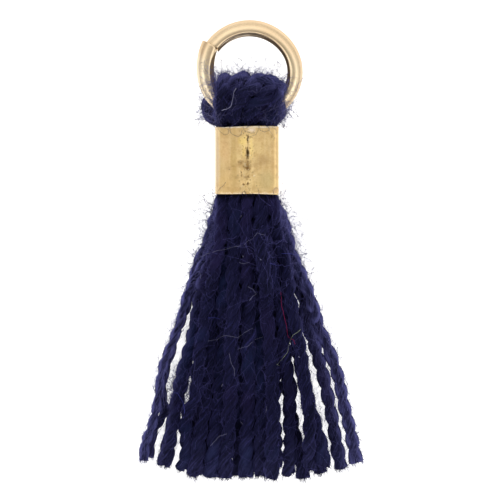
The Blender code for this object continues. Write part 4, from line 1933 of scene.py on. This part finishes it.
LINT_COLOURS = {
    Lint.PALE: ("74748f", "b6b6c9"),
    Lint.BLUISH: ("45489a", "6a70b8"),
    Lint.RED: ("8a1f4c", "b0305f"),
    Lint.GREEN: ("8b937e", "b9bfa6"),
    Lint.NAVY: ("26244e", "3c3a70"),
}


@dataclass(frozen=True)
class StrayFibre:
    """One caught fibre: its kind, its radius and its path over the yarn, in millimetres."""

    kind: Lint
    radius: float
    path: tuple[tuple[float, float], ...]


STRAYS = tuple(StrayFibre(*values) for values in (
    (Lint.PALE, 0.006, ((-2.48, -4.71), (-2.20, -4.57), (-1.94, -4.43), (-1.59, -4.33),
                        (-1.22, -4.25), (-0.89, -4.16), (-0.61, -4.07), (-0.28, -4.01))),
    (Lint.PALE, 0.006, ((-0.14, -3.99), (0.05, -3.82), (0.29, -3.68), (0.50, -3.42), (0.61, -3.47),
                        (0.87, -3.54))),
    (Lint.PALE, 0.006, ((-0.39, -4.83), (-0.18, -4.89), (0.10, -4.82))),
    (Lint.PALE, 0.009, ((0.05, -5.98), (0.24, -6.10), (0.43, -6.31), (0.26, -6.45), (0.12, -6.62))),
    (Lint.BLUISH, 0.008, ((1.08, -4.86), (1.51, -4.99), (1.69, -4.95))),
    (Lint.BLUISH, 0.008, ((1.65, -4.41), (1.98, -4.39), (2.35, -4.48))),
    (Lint.BLUISH, 0.009, ((-1.87, -7.45), (-1.59, -7.44), (-1.31, -7.49))),
    (Lint.PALE, 0.006, ((-1.86, -8.55), (-1.44, -8.49), (-1.07, -8.31), (-0.46, -8.37),
                        (-0.03, -8.12), (0.28, -7.94))),
    (Lint.PALE, 0.006, ((-0.46, -8.93), (0.03, -8.80), (0.40, -8.49), (0.74, -8.37))),
    (Lint.RED, 0.009, ((1.60, -6.20), (1.62, -6.87), (1.74, -7.25), (1.82, -7.69), (1.90, -8.05),
                       (1.99, -8.37), (2.19, -8.49), (2.27, -8.70))),
    (Lint.GREEN, 0.009, ((2.54, -8.00), (2.18, -8.31), (2.02, -8.61), (1.90, -9.10), (1.56, -9.53),
                         (1.41, -9.68), (1.53, -9.70))),
    (Lint.PALE, 0.007, ((-1.74, -13.51), (-1.31, -13.08), (-0.95, -12.93))),
    (Lint.PALE, 0.006, ((-0.85, -9.10), (-0.79, -9.47), (-0.61, -9.90), (-0.58, -10.20))),
    (Lint.BLUISH, 0.009, ((-3.64, -10.88), (-3.30, -11.06), (-3.06, -11.43), (-2.94, -11.80),
                          (-3.00, -12.22))),
    (Lint.PALE, 0.019, ((-0.51, 3.40), (-0.62, 3.22), (-0.65, 2.89), (-0.76, 2.51), (-0.93, 2.41),
                        (-1.20, 2.33))),
    (Lint.PALE, 0.018, ((-0.26, -2.60), (-0.28, -2.70))),
    (Lint.PALE, 0.020, ((0.63, -4.67), (0.68, -4.72))),
    (Lint.PALE, 0.016, ((-0.20, -4.49), (-0.18, -4.56))),
    (Lint.PALE, 0.007, ((-2.24, -5.30), (-2.18, -5.46), (-2.19, -5.60))),
    (Lint.PALE, 0.007, ((1.49, -9.66), (1.44, -9.78))),
    (Lint.PALE, 0.020, ((2.45, -9.27), (2.49, -9.33))),
    (Lint.PALE, 0.014, ((-1.15, -10.58), (-1.19, -10.72))),
    (Lint.PALE, 0.007, ((0.92, -11.62), (0.94, -11.78), (0.88, -11.94))),
    (Lint.PALE, 0.007, ((-0.30, -12.40), (-0.20, -12.52))),
    (Lint.PALE, 0.016, ((-3.34, -13.00), (-3.30, -12.93))),
    (Lint.NAVY, 0.006, ((-0.85, 1.66), (-0.77, 1.32), (-0.60, 1.16), (-0.42, 1.11), (-0.28, 1.23),
                        (-0.23, 1.42))),
    (Lint.NAVY, 0.005, ((0.01, 1.08), (0.25, 1.13), (0.42, 1.21), (0.52, 1.40), (0.54, 1.68))),
    (Lint.NAVY, 0.006, ((0.54, 1.68), (0.63, 1.42), (0.83, 1.35), (1.04, 1.39), (1.08, 1.51),
                        (0.99, 1.54))),
    (Lint.NAVY, 0.005, ((-1.42, 1.62), (-1.27, 1.35), (-1.07, 1.20), (-0.89, 1.26), (-0.85, 1.60))),
    (Lint.NAVY, 0.006, ((-0.22, 1.66), (-0.10, 1.37), (0.19, 1.28), (0.37, 1.30))),
    (Lint.NAVY, 0.006, ((-1.42, -1.66), (-1.33, -1.35), (-1.16, -1.23), (-1.01, -1.05))),
    (Lint.NAVY, 0.009, ((-0.22, -1.66), (-0.20, -1.51), (-0.10, -1.46), (-0.01, -1.66))),
    (Lint.NAVY, 0.006, ((1.24, -1.66), (1.29, -1.37), (1.42, -1.29), (1.51, -1.43))),
))


class FibreDrawer(NodeTool):
    """Draws a thin round fibre along each guide line."""

    def __init__(self) -> None:
        """Build the tree."""
        super().__init__("draw_fibres")
        self.declare(step=0.04 * MM, sides=5, ripple=0.13 * MM, ripples=2000.0, material=None)
        sway = self.make.drift(self.place(), self.given("ripples"), detail=2.0)
        swayed = self.moved(self.smooth_guides(), self.scaled(sway, self.given("ripple")))
        self.end(self.tube(swayed, self.circle(self.given("sides")),
                           self.make.value("GeometryNodeInputRadius")))


@dataclass
class CaughtLint:
    """The single fibres that lie over the yarn and over the band's rims."""

    ground: Sequence[bpy.types.Object]
    strays: tuple[StrayFibre, ...] = STRAYS
    clearance: float = 0.12 * MM
    least_gap: float = 0.01 * MM
    looking_from: float = 10.0 * MM

    def build(self) -> list[bpy.types.Object]:
        """Lay each fibre on whatever is under it.

        Returns:
            One piece for each kind of fibre.
        """
        trees = [BVHTree.FromPolygons([v.co for v in thing.data.vertices],
                                      [p.vertices for p in thing.data.polygons])
                 for thing in self.ground]
        drawer = FibreDrawer()
        pieces = []
        for kind in Lint:
            name = f"lint_{kind.value}"
            lines = [self.lay(stray, trees) for stray in self.strays if stray.kind is kind]
            finish = LooseFibre(name, *LINT_COLOURS[kind])
            drawn = drawer.run(guide_object(name + "_guides", lines), name,
                               {"material": finish.material})
            pieces.append(finish_piece(drawn, Slot.YARN))
        return pieces

    def lay(self, stray: StrayFibre, trees: Sequence[BVHTree]) -> GuideLine:
        """Lay a fibre on top of what lies under it.

        Args:
            stray: The fibre.
            trees: The surfaces that it may lie on.

        Returns:
            Its guide line, which bridges the hollows.
        """
        line: GuideLine = []
        for first, second in zip(stray.path, stray.path[1:] + stray.path[-1:]):
            for share in (0.0, 0.5):
                x = (first[0] + (second[0] - first[0]) * share) * MM
                y = (first[1] + (second[1] - first[1]) * share) * MM
                if not line or (Vector((x, y)) - line[-1][0].xy).length > self.least_gap:
                    line.append((Vector((x, y, self.height(x, y, trees) + self.clearance)),
                                 stray.radius * MM))
        bridged = []
        for k, (place, radius) in enumerate(line):
            near = [other.z for other, _ in line[max(0, k - 1):k + 2]]
            z = max(place.z, sum(near) / len(near))
            bridged.append((Vector((place.x, place.y, z)), radius))
        return bridged

    def height(self, x: float, y: float, trees: Sequence[BVHTree]) -> float:
        """Look down on a place.

        Args:
            x: The place across the tassel.
            y: The place along it.
            trees: The surfaces that may lie there.

        Returns:
            The height of the highest of them, or of the ground.
        """
        above, down = Vector((x, y, self.looking_from)), Vector((0.0, 0.0, -1.0))
        hits = [tree.ray_cast(above, down)[0] for tree in trees]
        return max([hit.z for hit in hits if hit is not None], default=0.0)


# ------------------------------------------------------------------ studio

@dataclass
class Studio:
    """A white table, soft panels overhead and a camera that looks straight down.

    Each panel is a side, an x, a y and a share of the full power. Each stop of the sky is
    a height, 0 straight below and 1 straight above, and a brightness.
    """

    view_centre: tuple[float, float] = (0.143 * MM, -4.238 * MM)
    view_width: float = 23.81 * MM
    camera_height: float = 300.0 * MM
    sensor: float = 36.0
    dark_lean_deg: float = 14.0
    clip: tuple[float, float] = (0.01, 10.0)
    aim_y: float = -4.0 * MM
    floor_reach: float = 2.0
    floor_drop: float = 0.002 * MM
    panel_height: float = 100.0 * MM
    panel_reach: float = 120.0 * MM
    panel_size: float = 110.0 * MM
    panel_energy: float = 0.0075
    panels: tuple[tuple[str, float, float, float], ...] = (
        ("left", -1.0, 0.0, 1.0), ("right", 1.0, 0.0, 1.0),
        ("far", 0.0, 1.0, 1.0), ("near", 0.0, -1.0, 0.9))
    sky_tint: tuple[float, float, float] = (1.0, 0.99, 0.97)
    sky_strength: float = 1.5
    sky: tuple[tuple[float, float], ...] = (
        (0.50, 0.60), (0.70, 0.58), (0.80, 0.62), (0.83, 0.95), (0.92, 0.95), (0.955, 0.40),
        (1.00, 0.30))

    def build(self) -> None:
        """Lay the floor, hang the panels and place the camera."""
        self.lay_floor()
        self.hang_panels()
        self.place_camera()
        self.set_world()

    def lay_floor(self) -> None:
        """Lay a wide white card just under the tassel."""
        bm = bmesh.new()
        bmesh.ops.create_grid(bm, x_segments=1, y_segments=1, size=self.floor_reach)
        bmesh.ops.translate(bm, verts=bm.verts[:], vec=(0.0, 0.0, -self.floor_drop))
        mesh_object("floor_card", bm, PaleFloor())

    def hang_panels(self) -> None:
        """Hang four soft panels round an open middle, each facing the tassel."""
        target = Vector((0.0, self.aim_y, 0.0))
        for side, x, y, power in self.panels:
            name = f"panel_{side}"
            light = bpy.data.lights.new(name, "AREA")
            light.shape = "SQUARE"
            light.size = self.panel_size
            light.energy = self.panel_energy * power
            lamp = placed(name, light)
            lamp.location = Vector((x * self.panel_reach, y * self.panel_reach + self.aim_y,
                                    self.panel_height))
            lamp.rotation_euler = (target - lamp.location).to_track_quat("-Z", "Y").to_euler()

    def place_camera(self) -> None:
        """Look straight down with a long lens that takes in the view's width."""
        camera = bpy.data.cameras.new("camera")
        camera.sensor_width = self.sensor
        camera.lens = self.sensor * self.camera_height / self.view_width
        camera.clip_start, camera.clip_end = self.clip
        thing = placed("camera", camera)
        thing.location = (*self.view_centre, self.camera_height)
        bpy.context.scene.camera = thing

    def set_world(self) -> None:
        """Light the room: darker straight above, a bright belt round it, pale walls."""
        scene = bpy.context.scene
        scene.world = scene.world or bpy.data.worlds.new("room")
        scene.world.use_nodes = True
        tree = scene.world.node_tree
        make = TreeMaker(tree)
        lean = math.radians(self.dark_lean_deg)
        around = make.value("ShaderNodeTexCoord", output="Generated")
        _, far, up = make.split(around)
        height = far * math.sin(lean) + up * math.cos(lean)
        glow = make.value("ShaderNodeValToRGB", {"stops": [
            (position, (*(level * tint for tint in self.sky_tint), 1.0))
            for position, level in self.sky]}, (height * 0.5 + 0.5,))
        make.tree.links.new(glow.socket, tree.nodes["Background"].inputs["Color"])
        tree.nodes["Background"].inputs["Strength"].default_value = self.sky_strength
        scene.view_settings.view_transform = "Standard"


def main() -> None:
    """Build the ring, the band, the yarn and the studio."""
    logging.basicConfig(level=logging.INFO, format="%(name)s: %(message)s")
    ring, band = JumpRing().build(), CrimpBand().build()
    yarn = YarnWork().build()
    strands, folds = yarn[:2]
    lint = CaughtLint([ring, band, strands, folds]).build()
    for piece in (ring, band, *yarn, *lint):
        piece.data.calc_loop_triangles()
        LOG.info("%s: %d triangles", piece.name, len(piece.data.loop_triangles))
    Studio().build()


if __name__ == "__main__":
    main()
